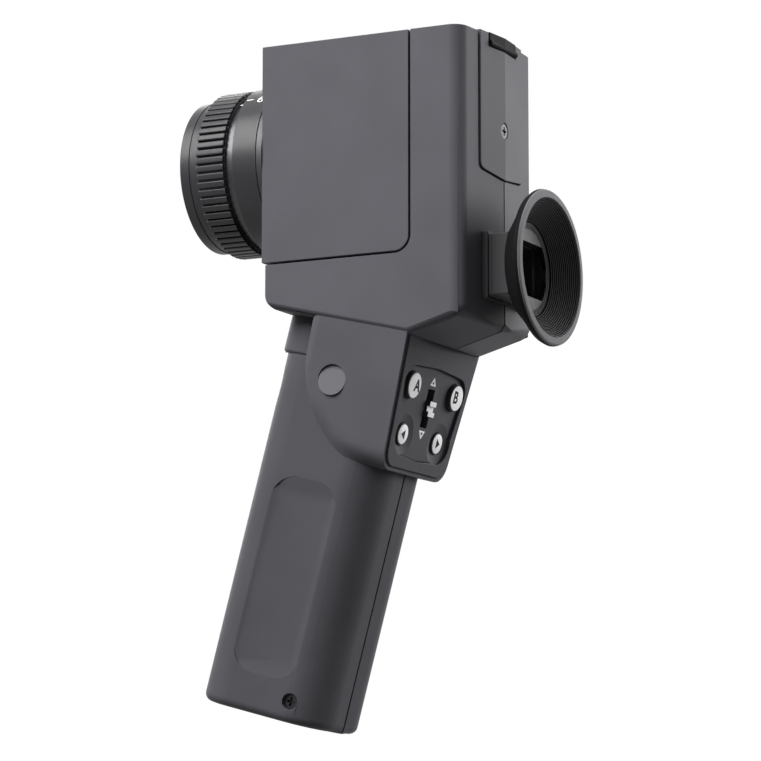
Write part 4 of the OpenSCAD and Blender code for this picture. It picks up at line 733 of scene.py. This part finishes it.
def lettering(text, height_mm, thick_mm, bold_mm=0.0):
    """A text as a thin solid in the XY plane, centred, in millimetres."""
    curve = bpy.data.curves.new("lettering", "FONT")
    curve.body = text
    curve.size = height_mm / capital_share
    curve.extrude = thick_mm / 2
    curve.offset = bold_mm
    curve.align_x = "CENTER"
    curve.align_y = "CENTER"
    holder = bpy.data.objects.new("lettering", curve)
    scene.collection.objects.link(holder)
    bpy.context.view_layer.update()
    mesh = bpy.data.meshes.new_from_object(holder.evaluated_get(bpy.context.evaluated_depsgraph_get()))
    bm = bmesh.new()
    bm.from_mesh(mesh)
    bpy.data.objects.remove(holder)
    bpy.data.curves.remove(curve)
    bpy.data.meshes.remove(mesh)
    bmesh.ops.remove_doubles(bm, verts=bm.verts, dist=0.0005)
    bmesh.ops.recalc_face_normals(bm, faces=bm.faces)
    return bm


def dash(length, width, thick):
    bm = bmesh.new()
    bmesh.ops.create_cube(bm, size=1, matrix=Matrix.Diagonal((length, width, thick, 1)))
    return bm


def wrap(bm, radius, station, angle):
    """Bends a flat drawing around the lens: its X along the axis, its Y up and around, in degrees from the left."""
    for v in bm.verts:
        turn, r = math.radians(angle) + v.co.y / radius, radius + v.co.z
        v.co = Vector((station + v.co.x, -r * math.cos(turn), r * math.sin(turn)))
    bmesh.ops.transform(bm, matrix=head_frame, verts=bm.verts)
    return bm


# %% Distance scale and index
barrel_r, first_angle, paint_thick = 25.1, 45.9, 0.12
number_height, number_station, dash_station = 3.3, -4.2, -7.8
distances = (("6", 0), ("4", 17.2), ("3", 34.5), ("2", 69.6), ("1.5", 105.3), ("1.2", 141.7), ("1", 178.7))
scale = bmesh.new()
for metres, further in distances:
    number = lettering(metres, number_height, paint_thick)
    add_to(scale, wrap(number, barrel_r, number_station, first_angle + further))
    add_to(scale, wrap(dash(2.1, 0.4, paint_thick), barrel_r, dash_station, first_angle + 0.6 + further))
print("scale faces:", len(scale.faces))
keep("distance_scale", scale, body_of["lens_barrel"], finishes["white_print"])
keep("focus_index", wrap(dash(1.2, 0.5, paint_thick), skirt_r, -12.1, 51.25), "focus_ring",
     finishes["white_print"])

# %% [markdown]
# The keypad has four round keys with dark sides and light caps. A cap is a thin disc with a broken edge, and its sign
# lies on it. The slide lever is light on top and dark on its sides, like the keys. The two triangles show the two
# ways it moves, and are printed on the pad.

# %% Keys
pad_floor = 22.9
cap_sunk, cap_side, cap_top, cap_margin = -0.05, 0.14, 0.18, 0.3
sign_thick = 0.05


def arrow(width, height, thick, way):
    """A solid triangle that points to the left or right, in the XY plane."""
    bm = bmesh.new()
    bmesh.ops.create_circle(bm, cap_ends=True, segments=3, radius=1)
    low = min(v.co.y for v in bm.verts)
    for v in bm.verts:
        tip = (v.co.y - low) / (1 - low) if v.co.y > 0 else 0
        v.co = Vector((way * (tip - 0.4) * width, (0 if tip else math.copysign(0.5, v.co.x)) * height, 0))
    thicken(bm, thick)
    return bm


# Each row: node, its place across and up the pad, radius, height of its top, sign, how far the sign stands aside.
keys = (("button_a", -13.6, 101, 3.9, 24.3, "A", 1.3), ("button_b", 13.6, 101, 3.9, 24.3, "B", -0.9),
        ("button_left", -11, 86.9, 3.15, 22.9, -1, 0), ("button_right", 11, 86.9, 3.15, 22.9, 1, 0))
for key, y, z, radius, top, sign, aside in keys:
    bm = merged(key)
    soften(bm, open_edges(bm), 0.15)
    keep(key + "_body", bm, key, finishes["black_plastic"], [key])
    place = grip_frame @ Matrix.Translation((top, y, z))
    cap_r = radius - cap_margin
    disc = [Vector((cap_sunk, 0))] + rounded([(cap_sunk, cap_r, 0), (cap_side, cap_r, 0.1), (cap_top, 0, 0)])
    keep(key + "_cap", spun(disc, place, 64, closed=False), key, finishes["key_grey"])
    bm = lettering(sign, 3.4, sign_thick, 0.15) if isinstance(sign, str) else arrow(2.1, 2.8, sign_thick, sign)
    bmesh.ops.transform(bm, matrix=place @ Matrix.Translation((cap_top, aside, 0)) @ facing_back, verts=bm.verts)
    keep(key + "_sign", bm, key, finishes["dark_print_and_gap_shade"])
print("keys with caps and signs:", len(keys))

# %% Slide lever and triangles
bm = merged("lever")
soften(bm, open_edges(bm), 0.12)
outward = (grip_frame.to_3x3() @ Vector((1, 0, 0))).normalized()
for face in bm.faces:
    deep = (to_grip @ face.calc_center_median()).x
    face.material_index = 1 if face.normal.dot(outward) > 0.3 and deep > pad_floor - 0.3 else 0
keep("lever_slide", bm, "lever", [finishes["black_plastic"], finishes["key_grey"]], ["lever"])

triangle_r, triangle_stretch, triangle_line, triangle_thick = 1.65, 1.25, 0.5, 0.06
triangles = bmesh.new()
for z, way in ((103.3, 1), (88.5, -1)):
    bm = bmesh.new()
    bmesh.ops.create_circle(bm, cap_ends=True, segments=3, radius=triangle_r)
    bmesh.ops.transform(bm, matrix=Matrix.Diagonal((triangle_stretch, way, 1, 1)), verts=bm.verts)
    bmesh.ops.inset_region(bm, faces=bm.faces[:], thickness=triangle_line, use_boundary=True, use_even_offset=True)
    inner = min(bm.faces, key=lambda f: f.calc_center_median().length)
    bmesh.ops.delete(bm, geom=[inner], context="FACES")
    thicken(bm, triangle_thick)
    place = grip_frame @ Matrix.Translation((pad_floor - 0.01, 0, z)) @ facing_back
    bmesh.ops.transform(bm, matrix=place, verts=bm.verts)
    add_to(triangles, bm)
keep("lever_triangles", triangles, body_of["control_housing"], finishes["white_print"])
print("lever and triangles made")

# %% [markdown]
# The pad is a thin plate of its own that lies in the frame, with a gap all around it. The gap's shade is painted
# as a dark strip along the foot of the frame's inner wall: the edges where the pad's floor meets that wall are pulled
# inwards into a narrow strip, which then gets a little thickness.

# %% Painted shade in the gap around the pad
gap_shade_width, gap_shade_thick = 0.4, 0.04
pad_middle = Vector((pad_floor, 0, 95))
bm = merged("control_housing")
bm.normal_update()


def is_floor(face):
    return face.normal.dot(outward) > 0.99 and abs((to_grip @ face.calc_center_median()).x - pad_floor) < 0.01


# These edges carry the painted shade of the gap between the pad and the frame.
gap_shade = {e for e in bm.edges if not e.is_convex and sum(is_floor(f) for f in e.link_faces) == 1
         and all(abs(f.normal.dot(outward)) < 0.2 or is_floor(f) for f in e.link_faces)}
bmesh.ops.delete(bm, geom=[e for e in bm.edges if e not in gap_shade], context="EDGES_FACES")
strip = bmesh.ops.extrude_edge_only(bm, edges=bm.edges[:])
for v in strip["geom"]:
    if isinstance(v, bmesh.types.BMVert):
        at = to_grip @ v.co
        v.co = grip_frame @ (at + (pad_middle - at).normalized() * gap_shade_width)
print("joint edges:", len(gap_shade), "faces:", len(bm.faces))
bmesh.ops.recalc_face_normals(bm, faces=bm.faces)
bmesh.ops.solidify(bm, geom=bm.faces[:], thickness=gap_shade_thick * MM)
keep("pad_gap_shade", bm, body_of["control_housing"], finishes["dark_print_and_gap_shade"])
